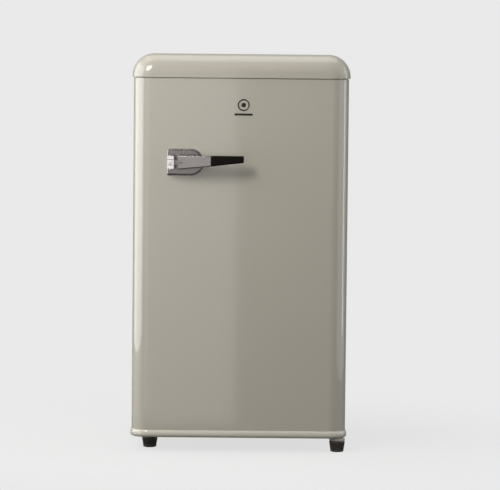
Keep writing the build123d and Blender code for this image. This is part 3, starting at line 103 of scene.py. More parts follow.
class Finish:
    """One procedural material on a Principled surface; every node comes from node()."""

    def __init__(self, name, constants=None):
        self.material = bpy.data.materials.new(name)
        self.material.use_nodes = True
        self.tree = self.material.node_tree
        self.tree.nodes.clear()
        self.surface = self.node("ShaderNodeBsdfPrincipled", {}, constants or {})
        self.output = self.node("ShaderNodeOutputMaterial", {},
                                {"Surface": self.surface.outputs["BSDF"]})
        self.place = self.node("ShaderNodeTexCoord").outputs["Object"]

    def node(self, kind, settings=None, sockets=None):
        """Adds a node, sets its properties first and then its sockets' values or links."""
        made = self.tree.nodes.new(kind)
        for key, value in (settings or {}).items():
            if key == "stops":
                fill_ramp(made.color_ramp, value)
            else:
                setattr(made, key, value)
        for key, value in (sockets or {}).items():
            value = value.socket if isinstance(value, Value) else value
            if isinstance(value, bpy.types.NodeSocket):
                self.tree.links.new(value, made.inputs[key])
            else:
                made.inputs[key].default_value = value
        return made

    def value(self, kind, settings, sockets, output):
        """Adds a node and hands back one of its outputs as a value."""
        return Value(self, self.node(kind, settings, sockets).outputs[output])

    def noise(self, scale, detail=2.0, stretch=None):
        """Noise in the object's own space, with its features 1 / scale metres across."""
        place = self.place
        if stretch:
            mapping = self.node("ShaderNodeMapping", {}, {"Vector": place, "Scale": stretch})
            place = mapping.outputs["Vector"]
        sockets = {"Vector": place, "Scale": scale, "Detail": detail}
        return self.value("ShaderNodeTexNoise", {}, sockets, "Fac")

    def cells(self, scale):
        """Distance to the middle of the nearest cell."""
        return self.value("ShaderNodeTexVoronoi", {"feature": "F1"},
                          {"Vector": self.place, "Scale": scale}, "Distance")

    def between(self, amount, low, high):
        """Soft step of an amount from 0 at low to 1 at high."""
        return self.value("ShaderNodeMapRange", {"interpolation_type": "SMOOTHSTEP"},
                          {"Value": amount, "From Min": low, "From Max": high}, "Result")

    def blend(self, amount, first, second):
        """Colour between two colours or colour sockets."""
        return self.node("ShaderNodeMix", {"data_type": "RGBA"},
                         {0: amount, 6: first, 7: second}).outputs[2]

    def set(self, **sockets):
        """Feeds sockets of the Principled surface, with underscores for spaces."""
        for key, value in sockets.items():
            socket = self.surface.inputs[key.replace("_", " ")]
            value = value.socket if isinstance(value, Value) else value
            if isinstance(value, bpy.types.NodeSocket):
                self.tree.links.new(value, socket)
            else:
                socket.default_value = value

    def bump(self, height, depth):
        """Relief of a height between 0 and 1 that stands a depth in metres."""
        node = self.node("ShaderNodeBump", {},
                         {"Height": height, "Distance": depth, "Strength": 1.0})
        self.set(Normal=node.outputs["Normal"])


def fill_ramp(ramp, stops):
    """Sets a colour ramp to a list of positions and colours."""
    while len(ramp.elements) < len(stops):
        ramp.elements.new(1.0)
    for element, (position, colour) in zip(ramp.elements, stops):
        element.position = position
        element.color = (*colour, 1.0)


def rgba(colour, factor=1.0):
    """A colour made lighter or darker by a factor, with full alpha."""
    return (*[min(1.0, c * factor) for c in colour[:3]], 1.0)


# --- finishes ---
def enamel(name, colour, roughness=0.36, coat=0.98, peel=0.00002):
    """Glossy sprayed enamel: a faint cloudiness, an uneven gloss and a fine orange peel."""
    f = Finish(name, {"Coat Roughness": 0.045, "Specular IOR Level": 0.3, "Coat IOR": 1.65})
    cloud = f.noise(7.0, 3.0)
    f.set(Base_Color=f.blend(cloud, rgba(colour, 0.975), rgba(colour, 1.02)))
    f.set(Roughness=roughness - 0.03 + f.noise(22.0, 4.0) * 0.07)
    f.set(Coat_Weight=coat - 0.08 + f.noise(60.0) * 0.1)
    f.bump(f.noise(420.0, 1.0) * 0.6 + f.noise(90.0, 1.0) * 0.9, peel)
    return f.material


def moulded(name, colour, roughness=0.4, grain=900.0, depth=0.00002, level=0.5):
    """Moulded plastic: a fine spark-eroded grain and a faint flow in its gloss."""
    f = Finish(name, {"Coat Roughness": 0.15, "Specular IOR Level": level})
    flow = f.noise(14.0, 3.0)
    f.set(Base_Color=f.blend(flow, rgba(colour, 0.94), rgba(colour, 1.05)))
    f.set(Roughness=roughness - 0.04 + f.noise(40.0, 4.0) * 0.09)
    f.bump(f.noise(grain, 2.0), depth)
    return f.material


def chrome(name, colour, roughness=0.13):
    """Bright plating over a polished casting, with fine wipe marks and a slight waviness."""
    f = Finish(name)
    wipe = f.noise(260.0, 2.0, (0.12, 1.0, 1.0))
    cloud = f.noise(30.0, 3.0)
    f.set(Base_Color=f.blend(cloud, rgba(colour, 0.92), rgba(colour, 1.06)), Metallic=1.0)
    f.set(Roughness=roughness - 0.03 + wipe * 0.06 + f.between(cloud, 0.55, 0.8) * 0.05)
    f.bump(wipe * 0.5 + f.noise(70.0, 1.0), 0.00001)
    return f.material


def galvanised(name, colour):
    """Zinc-coated sheet with its spangle of crystals."""
    f = Finish(name, {"Metallic": 1.0})
    crystal = f.node("ShaderNodeTexVoronoi", {}, {"Vector": f.place, "Scale": 110.0})
    tone = f.value("ShaderNodeRGBToBW", {}, {"Color": crystal.outputs["Color"]}, "Val")
    f.set(Base_Color=f.blend(tone, rgba(colour, 0.78), rgba(colour, 1.12)))
    f.set(Roughness=0.34 + tone * 0.2)
    f.bump(tone * 0.5 + f.noise(300.0), 0.00002)
    return f.material


def plain_steel(name, colour):
    """Zinc-plated turned or stamped steel with fine draw lines."""
    f = Finish(name, {"Metallic": 1.0})
    lines = f.noise(500.0, 2.0, (1.0, 1.0, 0.08))
    f.set(Base_Color=f.blend(f.noise(60.0), rgba(colour, 0.85), rgba(colour, 1.1)))
    f.set(Roughness=0.26 + lines * 0.18)
    f.bump(lines, 0.00001)
    return f.material


def painted_black(name, colour, roughness):
    """Dipped black paint with runs in its gloss and a little dust."""
    f = Finish(name)
    dust = f.between(f.noise(35.0, 5.0), 0.52, 0.8)
    f.set(Base_Color=f.blend(dust * 0.35, rgba(colour), (0.10, 0.095, 0.09, 1.0)))
    f.set(Roughness=roughness + dust * 0.25)
    f.bump(f.noise(160.0, 3.0), 0.00004)
    return f.material


def copper(name, colour):
    """Drawn copper tube, tarnished in patches."""
    f = Finish(name, {"Metallic": 1.0})
    tarnish = f.between(f.noise(28.0, 5.0), 0.42, 0.72)
    f.set(Base_Color=f.blend(tarnish, rgba(colour), rgba(colour, 0.45)))
    f.set(Roughness=0.24 + tarnish * 0.3)
    f.bump(f.noise(350.0), 0.00001)
    return f.material


def liner_white(name, colour):
    """Vacuum-formed liner: satin white with a soft ripple from the forming."""
    f = Finish(name, {"Subsurface Weight": 0.0, "Coat Roughness": 0.25})
    ripple = f.noise(9.0, 2.0)
    f.set(Base_Color=f.blend(ripple, rgba(colour, 0.965), rgba(colour, 1.01)))
    f.set(Roughness=0.30 + f.noise(30.0, 4.0) * 0.1)
    f.bump(ripple * 0.8 + f.noise(240.0) * 0.2, 0.00008)
    return f.material


def clear_plastic(name, colour):
    """Clear polystyrene with a faint tint and moulding flow."""
    f = Finish(name, {"Transmission Weight": 0.94, "IOR": 1.45})
    f.set(Base_Color=f.blend(f.noise(18.0), rgba(colour), rgba(colour, 1.05)))
    f.set(Roughness=0.06 + f.noise(45.0, 3.0) * 0.08)
    f.bump(f.noise(25.0, 2.0), 0.00006)
    return f.material


def shelf_glass(name, colour):
    """Toughened glass with a green cast and a roller's faint waviness."""
    f = Finish(name, {"Transmission Weight": 0.97, "IOR": 1.5})
    f.set(Base_Color=f.blend(f.noise(12.0), rgba(colour), rgba(colour, 1.04)))
    f.set(Roughness=0.015 + f.between(f.noise(40.0, 5.0), 0.6, 0.8) * 0.08)
    f.bump(f.noise(16.0, 1.0, (1.0, 0.2, 1.0)), 0.00003)
    return f.material


def evaporator_metal(name, colour):
    """Roll-bonded aluminium: brushed, with its channels pressed out in waves."""
    f = Finish(name, {"Metallic": 1.0})
    wave = f.value("ShaderNodeTexWave", {"wave_type": "BANDS", "bands_direction": "Y"},
                   {"Vector": f.place, "Scale": 9.0, "Distortion": 1.2, "Detail": 0.0}, "Fac")
    channel = f.between(wave, 0.62, 0.9)
    grain = f.noise(600.0, 2.0, (0.06, 1.0, 1.0))
    f.set(Base_Color=f.blend(grain, rgba(colour, 0.88), rgba(colour, 1.08)))
    f.set(Roughness=0.30 + grain * 0.14)
    f.bump(channel + grain * 0.03, 0.0009)
    return f.material


def rubber(name, colour, roughness=0.72):
    """Extruded rubber: dull, with a dusty bloom and faint drawing lines."""
    f = Finish(name, {"Sheen Weight": 0.15, "Sheen Roughness": 0.5})
    bloom = f.between(f.noise(45.0, 5.0), 0.5, 0.85)
    f.set(Base_Color=f.blend(bloom * 0.5, rgba(colour), rgba(colour, 1.35)))
    f.set(Roughness=roughness + bloom * 0.12)
    f.bump(f.noise(700.0, 2.0), 0.00003)
    return f.material


def foam(name, colour):
    """Rigid foam with its open cells."""
    f = Finish(name)
    cell = f.cells(700.0)
    f.set(Base_Color=f.blend(cell * 1.4, rgba(colour), rgba(colour, 0.72)), Roughness=0.9)
    f.bump(cell, 0.0006)
    return f.material


def frosted(name, colour):
    """Frosted lamp cover that glows a little."""
    f = Finish(name, {"Transmission Weight": 0.35, "IOR": 1.45})
    prism = f.value("ShaderNodeTexWave", {"bands_direction": "Z"},
                    {"Vector": f.place, "Scale": 160.0}, "Fac")
    f.set(Base_Color=f.blend(prism, rgba(colour), rgba(colour, 0.9)),
          Roughness=0.35 + f.noise(90.0) * 0.1, Emission_Strength=0.25)
    f.set(Emission_Color=f.blend(prism, (1.0, 0.93, 0.8, 1.0), (0.9, 0.85, 0.72, 1.0)))
    f.bump(prism, 0.0003)
    return f.material


FINISH_OF_SLOT = {}


def make_finishes(colours):
    """One finish for each material slot of the frame."""
    body = colours.body
    steel = (0.56, 0.57, 0.58)
    FINISH_OF_SLOT.update({
        "body_enamel": enamel("body_enamel", body),
        "body_plastic": enamel("body_plastic", body, 0.33, 0.65, 0.000012),
        "galvanised": galvanised("galvanised", (0.52, 0.53, 0.54)),
        "fastener_steel": plain_steel("fastener_steel", steel),
        "chrome": chrome("chrome", colours.chrome, 0.26),
        "grip_black": moulded("grip_black", colours.grip, 0.34, 1200.0, 0.000015, level=0.08),
        "black_plastic": moulded("black_plastic", (0.048, 0.039, 0.034), 0.24, 1000.0, 0.00003),
        "black_rubber": rubber("black_rubber", (0.018, 0.018, 0.018)),
        "foam": foam("foam", (0.72, 0.60, 0.34)),
        "liner_white": liner_white("liner_white", colours.liner),
        "seal_grey": rubber("seal_grey", (0.50, 0.50, 0.49), 0.6),
        "bush_white": moulded("bush_white", (0.66, 0.65, 0.62), 0.4),
        "clear_plastic": clear_plastic("clear_plastic", (0.955, 0.975, 0.98)),
        "shelf_glass": shelf_glass("shelf_glass", (0.92, 0.98, 0.96)),
        "evaporator": evaporator_metal("evaporator", (0.72, 0.74, 0.75)),
        "knob": moulded("knob", (0.60, 0.62, 0.64), 0.35, 800.0, 0.00003),
        "lamp_frost": frosted("lamp_frost", (0.88, 0.88, 0.84)),
        "compressor_black": painted_black("compressor_black", (0.012, 0.012, 0.013), 0.30),
        "condenser_black": painted_black("condenser_black", (0.014, 0.014, 0.014), 0.42),
        "copper": copper("copper", (0.78, 0.40, 0.25)),
    })
    for node, obj in frame["nodes"].items():
        for place in obj.material_slots:
            place.material = FINISH_OF_SLOT[SLOT_OF[node]]


# --- surfaces ---
def arc(centre, radius, start, end, steps):
    """Points centre + radius (cos a, sin a), a from start to end degrees, and (cos a, sin a)."""
    turn = np.radians(np.linspace(start, end, steps + 1))
    out = np.stack([np.cos(turn), np.sin(turn)], 1)
    return np.asarray(centre) + radius * out, out


def chain(*stretches):
    """Joins stretches of points and outward directions into one path."""
    points = np.concatenate([s[0] for s in stretches])
    out = np.concatenate([s[1] for s in stretches])
    return points, out


def rounded_loop(x0, x1, y0, y1, radii, steps=10):
    """Rectangle whose corners are arcs, anticlockwise from the lower left, as a closed path."""
    radii = np.broadcast_to(radii, 4)
    corners = [((x0, y0), (1, 1), 180), ((x1, y0), (-1, 1), 270), ((x1, y1), (-1, -1), 0),
               ((x0, y1), (1, -1), 90)]
    return chain(*[arc((c[0] + s[0] * r, c[1] + s[1] * r), r, a, a + 90, steps)
                   for (c, s, a), r in zip(corners, radii)])


def rounded_section(a0, a1, b0, b1, radius, steps=3):
    """The same rectangle as a section to be carried along a path."""
    return rounded_loop(a0, a1, b0, b1, radius, steps)[0]


def swept(path, section, plane):
    """A section carried along a path: path point + outward direction x the section's first
    value; its second value lies along the axis square to the path's plane."""
    points, out = path
    across = points[:, None, :] + out[:, None, :] * section[None, :, :1]
    along = np.broadcast_to(section[None, :, 1:], across[..., :1].shape)
    order = {"plan": [0, 1, 2], "front": [0, 2, 1], "side": [2, 0, 1]}[plane]
    return np.concatenate([across, along], -1)[..., order]


def turned(profile, steps, wave=None):
    """Radius and height pairs turned round +Z: (r cos a, r sin a, h); wave adds to r by a, h."""
    turn = np.linspace(0, 2 * np.pi, steps, endpoint=False)[:, None]
    radius = profile[None, :, 0] + (wave(turn, profile[None, :, 1]) if wave else 0)
    radius = np.broadcast_to(radius, (steps, len(profile)))
    height = np.broadcast_to(profile[None, :, 1], radius.shape)
    return np.stack([radius * np.cos(turn), radius * np.sin(turn), height], -1)


def laid(outline, axis, *places):
    """A flat outline repeated at places along an axis, as rows of points."""
    return np.stack([np.insert(outline, axis, place, axis=1) for place in places])


class Skin:
    """Gathers grids of points and flat caps into one closed mesh with its faces outwards."""

    def __init__(self):
        self.points = []
        self.faces = []
        self.count = 0

    def grid(self, points, wrap_rows=False, wrap_columns=False):
        """Quads between neighbours of a grid, row by row; a wrapped side joins its other end."""
        rows, columns = points.shape[:2]
        r = np.arange(rows if wrap_rows else rows - 1)
        c = np.arange(columns if wrap_columns else columns - 1)
        r0, c0 = np.meshgrid(r, c, indexing="ij")
        r1 = (r0 + 1) % rows
        c1 = (c0 + 1) % columns
        quads = np.stack([r0 * columns + c0, r1 * columns + c0, r1 * columns + c1,
                          r0 * columns + c1], -1).reshape(-1, 4)
        self.faces += (quads + self.count).tolist()
        self.points.append(points.reshape(-1, 3))
        self.count += rows * columns
        return self

    def cap(self, loop):
        """One flat face over a loop of points."""
        self.faces.append(list(range(self.count, self.count + len(loop))))
        self.points.append(loop)
        self.count += len(loop)
        return self

    def tube(self, points):
        """A grid whose sections are closed loops, with its two ends capped."""
        return self.grid(points, wrap_columns=True).cap(points[0]).cap(points[-1])

    def ring(self, points):
        """A grid that is closed both ways."""
        return self.grid(points, True, True)

    def piece(self, name, node, replaces=True, bevel=0.0, sharp=32, finish=None):
        """Makes the mesh, joins what meets, turns faces out and hangs it on a node's body."""
        mesh = bpy.data.meshes.new(name)
        mesh.from_pydata(np.concatenate(self.points).tolist(), [], self.faces)
        work = bmesh.new()
        work.from_mesh(mesh)
        bmesh.ops.remove_doubles(work, verts=work.verts, dist=2e-6)
        bmesh.ops.dissolve_degenerate(work, edges=work.edges, dist=1e-6)
        bmesh.ops.recalc_face_normals(work, faces=work.faces)
        work.to_mesh(mesh)
        work.free()
        mesh.shade_smooth()
        mesh.set_sharp_from_angle(angle=math.radians(sharp))
        obj = bpy.data.objects.new(name, mesh)
        bpy.context.scene.collection.objects.link(obj)
        slot = SLOT_OF[node]
        mesh.materials.append(finish or FINISH_OF_SLOT[slot])
        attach(obj, BODY_OF[node])
        if replaces:
            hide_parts(node)
        if bevel:
            edge = obj.modifiers.new("Bevel", "BEVEL")
            edge.width = bevel
            edge.segments = 3
            edge.limit_method = "ANGLE"
            edge.angle_limit = math.radians(sharp)
        flats = obj.modifiers.new("Flat faces stay flat", "WEIGHTED_NORMAL")
        flats.keep_sharp = True
        return obj


def low_high(node):
    """Lowest and highest corners of a node, as arrays."""
    low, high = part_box(node)
    return np.array(low), np.array(high)


# --- door ---
def axis_of(node):
    """X and Y of the middle of a node that stands upright, such as a pin."""
    low, high = low_high(node)
    return (low[:2] + high[:2]) / 2


def door_path(half, front, back, radius, flange=0.0, bend=0.0015):
    """Plan of the door from its left rear edge round the front, with flanges turned in behind."""
    stretches = []
    if flange:
        stretches.append((np.array([[-half + flange, back]]), np.array([[0.0, 1.0]])))
        stretches.append(arc((-half + bend, back - bend), bend, 90, 180, 6))
    else:
        stretches.append((np.array([[-half, back]]), np.array([[-1.0, 0.0]])))
    stretches.append(arc((-half + radius, front + radius), radius, 180, 270, 40))
    stretches.append(arc((half - radius, front + radius), radius, 270, 360, 40))
    if flange:
        stretches.append(arc((half - bend, back - bend), bend, 0, 90, 6))
        stretches.append((np.array([[half - flange, back]]), np.array([[0.0, 1.0]])))
    else:
        stretches.append((np.array([[half, back]]), np.array([[1.0, 0.0]])))
    return chain(*stretches)


def build_door_skin(sizes):
    """Folded steel skin: a thin rounded strip carried round the door's plan."""
    low, high = low_high("door_skin")
    path = door_path(high[0], low[1], high[1], sizes.door_corner, sizes.door_flange)
    section = rounded_section(-sizes.sheet, 0, low[2], high[2], 0.0003, 2)
    Skin().tube(swept(path, section, "plan")).piece("door_panel", "door_skin")


def build_bead(sizes):
    """End cap under the door: its section leaves the skin in a hollow curve, swells into a
    half-round bead and turns in to a flat sole; it is carried round the door's plan."""
    low, high = low_high("door_bottom_cap")
    skin_low, skin_high = low_high("door_skin")
    proud = high[0] - skin_high[0]
    rise = (high[2] - low[2]) * 0.4
    hollow, _ = arc((proud * 0.55, skin_low[2] + 0.0002), proud * 0.55 + 0.0002, 180, 250, 8)
    hollow[:, 1] = skin_low[2] - (skin_low[2] - hollow[:, 1]) * 0.8
    nose, _ = arc((0, 0), 1.0, 62, -90, 20)
    nose = nose * [sizes.bead_reach, rise] + [proud - sizes.bead_reach, low[2] + rise]
    inner = np.array([[-0.006, low[2]], [-0.006, skin_low[2] + 0.0002]])
    section = np.concatenate([hollow, nose, inner])
    path = door_path(skin_high[0], skin_low[1], high[1], sizes.door_corner)
    # The bead wears the lighter copy of the body enamel: a painted highlight, not a colour of its
    # own.
    Skin().tube(swept(path, section, "plan")).piece("door_bead", "door_bottom_cap",
                                                    replaces=False, finish=FINISH_OF_SLOT["bead"])


def build_bracket_nose(sizes):
    """Rolled rim round the nose of the lower hinge bracket, turned about the hinge's axis."""
    x, y = axis_of("hinge_pins")
    radius = sizes.nose_radius
    door = low_high("door_bottom_cap")[0][2]
    foot = low_high("front_right_foot")[0][2] + sizes.foot_height
    section = rounded_loop(radius - 0.0022, radius + 0.0004, foot + 0.0005, door - 0.0006,
                           0.0011, 5)[0]
    turn = np.radians(np.linspace(178, 362, 60))[:, None]
    rows = np.stack([x + section[:, 0] * np.cos(turn),
                     y + section[:, 0] * np.sin(turn),
                     np.broadcast_to(section[:, 1], (60, len(section)))], -1)
    Skin().tube(rows).piece("bracket_nose", "lower_hinge_bracket", replaces=False)


def build_gasket(sizes):
    """Magnetic seal: a folded bellows section carried round the door's back."""
    low, high = low_high("door_gasket")
    depth = high[1] - low[1]
    loop = rounded_loop(low[0], high[0], low[2], high[2], 0.010, 8)
    shape = np.array([
        (0.0, 0.0), (0.0, 0.14), (-0.16, 0.20), (-0.22, 0.30), (-0.06, 0.42), (-0.06, 0.50),
        (-0.20, 0.58), (-0.20, 0.66), (-0.02, 0.72), (-0.02, 0.98), (-0.06, 1.0),
        (-0.88, 1.0), (-0.93, 0.97), (-0.93, 0.74), (-0.76, 0.66), (-0.76, 0.56),
        (-0.90, 0.48), (-0.90, 0.40), (-0.78, 0.30), (-0.84, 0.20), (-1.0, 0.14), (-1.0, 0.0)])
    section = shape * [sizes.seal_width, depth] + [0, low[1]]
    Skin().ring(swept(loop, section, "front")).piece("door_seal", "door_gasket", bevel=0.0005)


# --- top cover ---
def cover_outline(half, lip, top, corner):
    """Front view of the cover from its left lip over the top to its right lip."""
    left = np.array([[-half, lip], [-half, (lip + top - corner) / 2]])
    right = left[::-1] * [-1, 1]
    sides = np.array([[-1.0, 0.0], [-1.0, 0.0]])
    return chain((left, sides), arc((-half + corner, top - corner), corner, 180, 90, 28),
                 (np.array([[0.0, top]]), np.array([[0.0, 1.0]])),
                 arc((half - corner, top - corner), corner, 90, 0, 28), (right, -sides))


def cover_surface(low, high, lip, corner, front_roll, back_roll, inset):
    """Rows of the cover from the back's flat over a small rear roll, along the sides and over
    the large front roll to the front's flat. A row is the outline drawn in by an inset."""
    half = high[0] - inset
    top = high[2] - inset
    back = high[1] - inset
    front = low[1] + inset
    corner = corner - inset
    front_roll = front_roll - inset
    back_roll = back_roll - inset
    rows = []
    turn = np.radians(np.linspace(0, 90, 9))
    for a in turn:
        rows.append((back_roll * (1 - math.sin(a)), back - back_roll * (1 - math.cos(a))))
    for share in np.linspace(0, 1, 8)[1:-1]:
        rows.append((0.0, back - back_roll + (front + front_roll - back + back_roll) * share))
    for a in np.radians(np.linspace(0, 90, 33)):
        rows.append((front_roll * (1 - math.cos(a)), front + front_roll * (1 - math.sin(a))))
    grid = []
    for extra, y in rows:
        points, _ = cover_outline(half - extra, lip, top - extra, corner - extra)
        grid.append(np.stack([points[:, 0], np.full(len(points), y), points[:, 1]], -1))
    first = grid[0] * [1, 1, 0] + [0, 0, lip]
    last = grid[-1] * [1, 1, 0] + [0, 0, lip]
    return np.stack([first, *grid, last])


def build_cover(sizes):
    """Top cover: the outer and inner surfaces joined by a rim along the lip."""
    low, high = low_high("top_cover")
    lip = high[2] - sizes.cover_height
    outer = cover_surface(low, high, lip, sizes.cover_corner, sizes.cover_roll,
                          sizes.cover_back_roll, 0.0)
    inner = cover_surface(low, high, lip, sizes.cover_corner, sizes.cover_roll,
                          sizes.cover_back_roll, sizes.cover_wall)
    skin = Skin().grid(outer).grid(inner)
    edge_out = np.concatenate([outer[:, 0], outer[::-1, -1]])
    edge_in = np.concatenate([inner[:, 0], inner[::-1, -1]])
    skin.grid(np.stack([edge_out, edge_in]), wrap_columns=True)
    skin.piece("cover_shell", "top_cover", bevel=0.0008)
    build_cover_web(sizes, low, high, lip)
    build_cover_tabs(sizes, low, high, lip)


def build_cover_web(sizes, low, high, lip):
    """Web over the door, closed in front and cut open behind for the hinge pin."""
    x, y = axis_of("hinge_pins")
    cabinet_front = low_high("cabinet_shell")[0][1]
    inset = sizes.cover_wall - 0.0002
    radius = sizes.cover_roll - inset
    half = high[0] - inset
    front = low[1] + inset
    left, _ = arc((-half + radius, front + radius), radius, 180, 270, 24)
    right, _ = arc((half - radius, front + radius), radius, 270, 360, 24)
    reach = sizes.slot_radius
    slot, _ = arc((x, y), reach, 0, -180, 16)
    corner = np.array([[half, cabinet_front], [x + reach, cabinet_front]])
    start = np.array([[x - reach, cabinet_front], [-half, cabinet_front]])
    outline = np.concatenate([left, right, corner, slot, start])
    levels = laid(outline, 2, lip + 0.0003, lip + 0.0028)
    Skin().tube(levels).piece("cover_web", "top_cover", replaces=False)


def build_cover_tabs(sizes, low, high, lip):
    """Two screwed tabs behind, with rounded feet."""
    back = low_high("cabinet_shell")[1][1]
    for x in (-sizes.tab_x, sizes.tab_x):
        loop, _ = rounded_loop(x - sizes.tab_half, x + sizes.tab_half, low[2], lip + 0.003,
                               (0.004, 0.004, 0.001, 0.001), 6)
        side = "left" if x < 0 else "right"
        Skin().tube(laid(loop, 1, back + 0.0001, high[1])).piece(
            f"cover_tab_{side}", "top_cover", replaces=False, bevel=0.0005)


# --- handle ---
def d_outline(x0, x1, z0, z1, inset):
    """Plate with a straight left edge and a round right end, drawn in by an inset."""
    radius = (z1 - z0) / 2
    corner = max(0.004 - inset, 0.0008)
    x0, z0, z1 = x0 + inset, z0 + inset, z1 - inset
    low, _ = arc((x0 + corner, z0 + corner), corner, 180, 270, 8)
    end, _ = arc((x1 - radius, (z0 + z1) / 2), radius - inset, -90, 90, 48)
    high, _ = arc((x0 + corner, z1 - corner), corner, 90, 180, 8)
    return np.concatenate([low, end, high])


def wedge(sizes, px, py, foot):
    """Plan of the pivot post: upright on the left, a slanted face to the front, and upright on
    the right back to its foot."""
    reach = sizes.barrel_radius
    shape = np.array([[-reach, 0.0030], [0.0012 - reach, 0.0012], [reach - 0.0026, -reach],
                      [reach - 0.0008, -reach], [reach, 0.0010 - reach], [reach, 0.0030],
                      [reach - 0.002, 0.007]]) + [px, py]
    return np.concatenate([[[px - reach, foot]], shape, [[px + reach - 0.002, foot]]])


def knuckle(sizes, px, py):
    """Plan of the lever's knuckle: the post's face in front and a round heel behind."""
    heel, _ = arc((px, py), sizes.barrel_radius - 0.0004, 12, 168, 20)
    return np.concatenate([wedge(sizes, px, py, py)[2:6], heel])


def build_handle_base(sizes):
    """Plate with a stepped, bevelled rim, and the forked post that the lever turns in."""
    low, high = low_high("handle_base")
    back = low_high("door_skin")[0][1]
    pin_low, pin_high = low_high("handle_pin")
    px, py = axis_of("handle_pin")
    rows = [(0.0, 0.0), (0.0, 0.0022), (0.0004, 0.0028), (0.0026, 0.0039), (0.0034, 0.0040),
            (0.0038, 0.0036), (0.0044, 0.0034)]
    x0 = low[0]
    x1 = x0 + sizes.plate_length
    grid = [laid(d_outline(x0, x1, low[2], high[2], inset), 1, back - rise)
            for inset, rise in rows]
    Skin().tube(np.concatenate(grid)).piece("handle_plate", "handle_base", sharp=40)
    z0, z1 = pin_low[2] + 0.001, pin_high[2] - 0.001
    gap = sizes.knuckle_height / 2 + 0.0003
    middle = (z0 + z1) / 2
    outline = wedge(sizes, px, py, back - 0.003)
    for name, a, b in (("lower", z0, middle - gap), ("upper", middle + gap, z1)):
        Skin().tube(laid(outline, 2, a, b)).piece(f"handle_lug_{name}", "handle_base",
                                                 replaces=False, bevel=0.0009)
    reach = sizes.barrel_radius
    outline = rounded_loop(px - reach, px + reach - 0.002, py + reach + 0.001, back - 0.003,
                           0.0004, 2)[0]
    Skin().tube(laid(outline, 2, middle - gap - 0.001, middle + gap + 0.001)).piece(
        "handle_post", "handle_base", replaces=False)


def lever_line(sizes, py, at):
    """Middle of the lever at a distance along it: it leans out by a parabola."""
    share = at / (sizes.lever_length + sizes.grip_length)
    return py - sizes.lever_lean * (2 * share - share * share)


def lever_foot(sizes, top, at):
    """Lower edge of the lever and grip at a distance along it."""
    drop = np.interp(at, [0, sizes.lever_length, sizes.lever_length + sizes.grip_length],
                     [sizes.lever_height, sizes.grip_height, sizes.tip_height])
    return top - drop


def chamfered_loop(y0, y1, z0, z1, wide, deep):
    """Rectangle with its four edges cut to slopes, wide in height and deep in depth."""
    return np.array([[y0 + deep, z0], [y1 - deep, z0], [y1, z0 + wide], [y1, z1 - wide],
                     [y1 - deep, z1], [y0 + deep, z1], [y0, z1 - wide], [y0, z0 + wide]])


def bar(sizes, px, py, top, stations, thickness, edge, shrink):
    """Bar along the lever's line; shrink narrows its section at each station."""
    rows = []
    for at, less in zip(stations, shrink):
        y = lever_line(sizes, py, at)
        z0 = lever_foot(sizes, top, at) + less
        half = thickness / 2 - less * 0.6
        section = edge(y - half, y + half, z0, top - less)
        x = px + sizes.lever_start + at
        rows.append(laid(section, 0, x))
    return np.concatenate(rows)


def lever_edge(y0, y1, z0, z1):
    """Section of the cast arm."""
    return chamfered_loop(y0, y1, z0, z1, 0.0022, 0.0012)


def grip_edge(y0, y1, z0, z1):
    """Section of the moulded grip."""
    return rounded_loop(y0, y1, z0, z1, 0.0028, 5)[0]


def build_lever(sizes):
    """Cast lever: a knuckle and tongue, and a tapered arm with rounded edges and a rib."""
    pin_low, pin_high = low_high("handle_pin")
    px, py = axis_of("handle_pin")
    pz = (pin_low[2] + pin_high[2]) / 2
    top = low_high("handle_lever")[1][2]
    length = sizes.lever_length
    nose = np.radians(np.linspace(0, 90, 7))
    start = 0.0016 * (1 - np.cos(nose))
    stations = np.concatenate([start, np.linspace(0.004, length - 0.004, 18),
                               length - 0.0018 * (1 - np.cos(nose[::-1]))])
    shrink = np.concatenate([0.0016 * (1 - np.sin(nose)), np.zeros(18),
                             0.0018 * (1 - np.sin(nose[::-1]))])
    rows = bar(sizes, px, py, top, stations, sizes.lever_thickness, lever_edge, shrink)
    skin = Skin().tube(rows)
    half = sizes.knuckle_height / 2
    tongue = rounded_loop(py - 0.0065, py + 0.004, pz - half, pz + half, 0.0012, 4)[0]
    start = px + sizes.lever_start
    skin.tube(laid(tongue, 0, px + 0.002, start + 0.003))
    skin.tube(laid(knuckle(sizes, px, py), 2, pz - half, pz + half))
    y = lever_line(sizes, py, 0.005)
    rib = rounded_loop(y - sizes.lever_thickness / 2 - 0.0016, y, pz - 0.0016, pz + 0.0016,
                       0.0011, 4)[0]
    skin.tube(laid(rib, 0, start + 0.0012, start + 0.011))
    skin.piece("lever_arm", "handle_lever", bevel=0.0004, sharp=20)


def build_grip(sizes):
    """Moulded grip with rounded edges, a rounded tip and a collar at the lever."""
    px, py = axis_of("handle_pin")
    top = low_high("handle_lever")[1][2]
    start = sizes.lever_length
    end = start + sizes.grip_length
    nose = np.radians(np.linspace(0, 90, 8))
    first = start + 0.0012 * (1 - np.cos(nose))
    last = end - 0.003 * (1 - np.cos(nose[::-1]))
    middle = np.linspace(start + 0.003, end - 0.005, 20)
    stations = np.concatenate([first, middle, last])
    shrink = np.concatenate([0.0012 * (1 - np.sin(nose)), np.zeros(20),
                             0.003 * (1 - np.sin(nose[::-1]))])
    rows = bar(sizes, px, py, top, stations, sizes.grip_thickness, grip_edge, shrink)
    Skin().tube(rows).piece("lever_grip", "handle_grip", sharp=45)


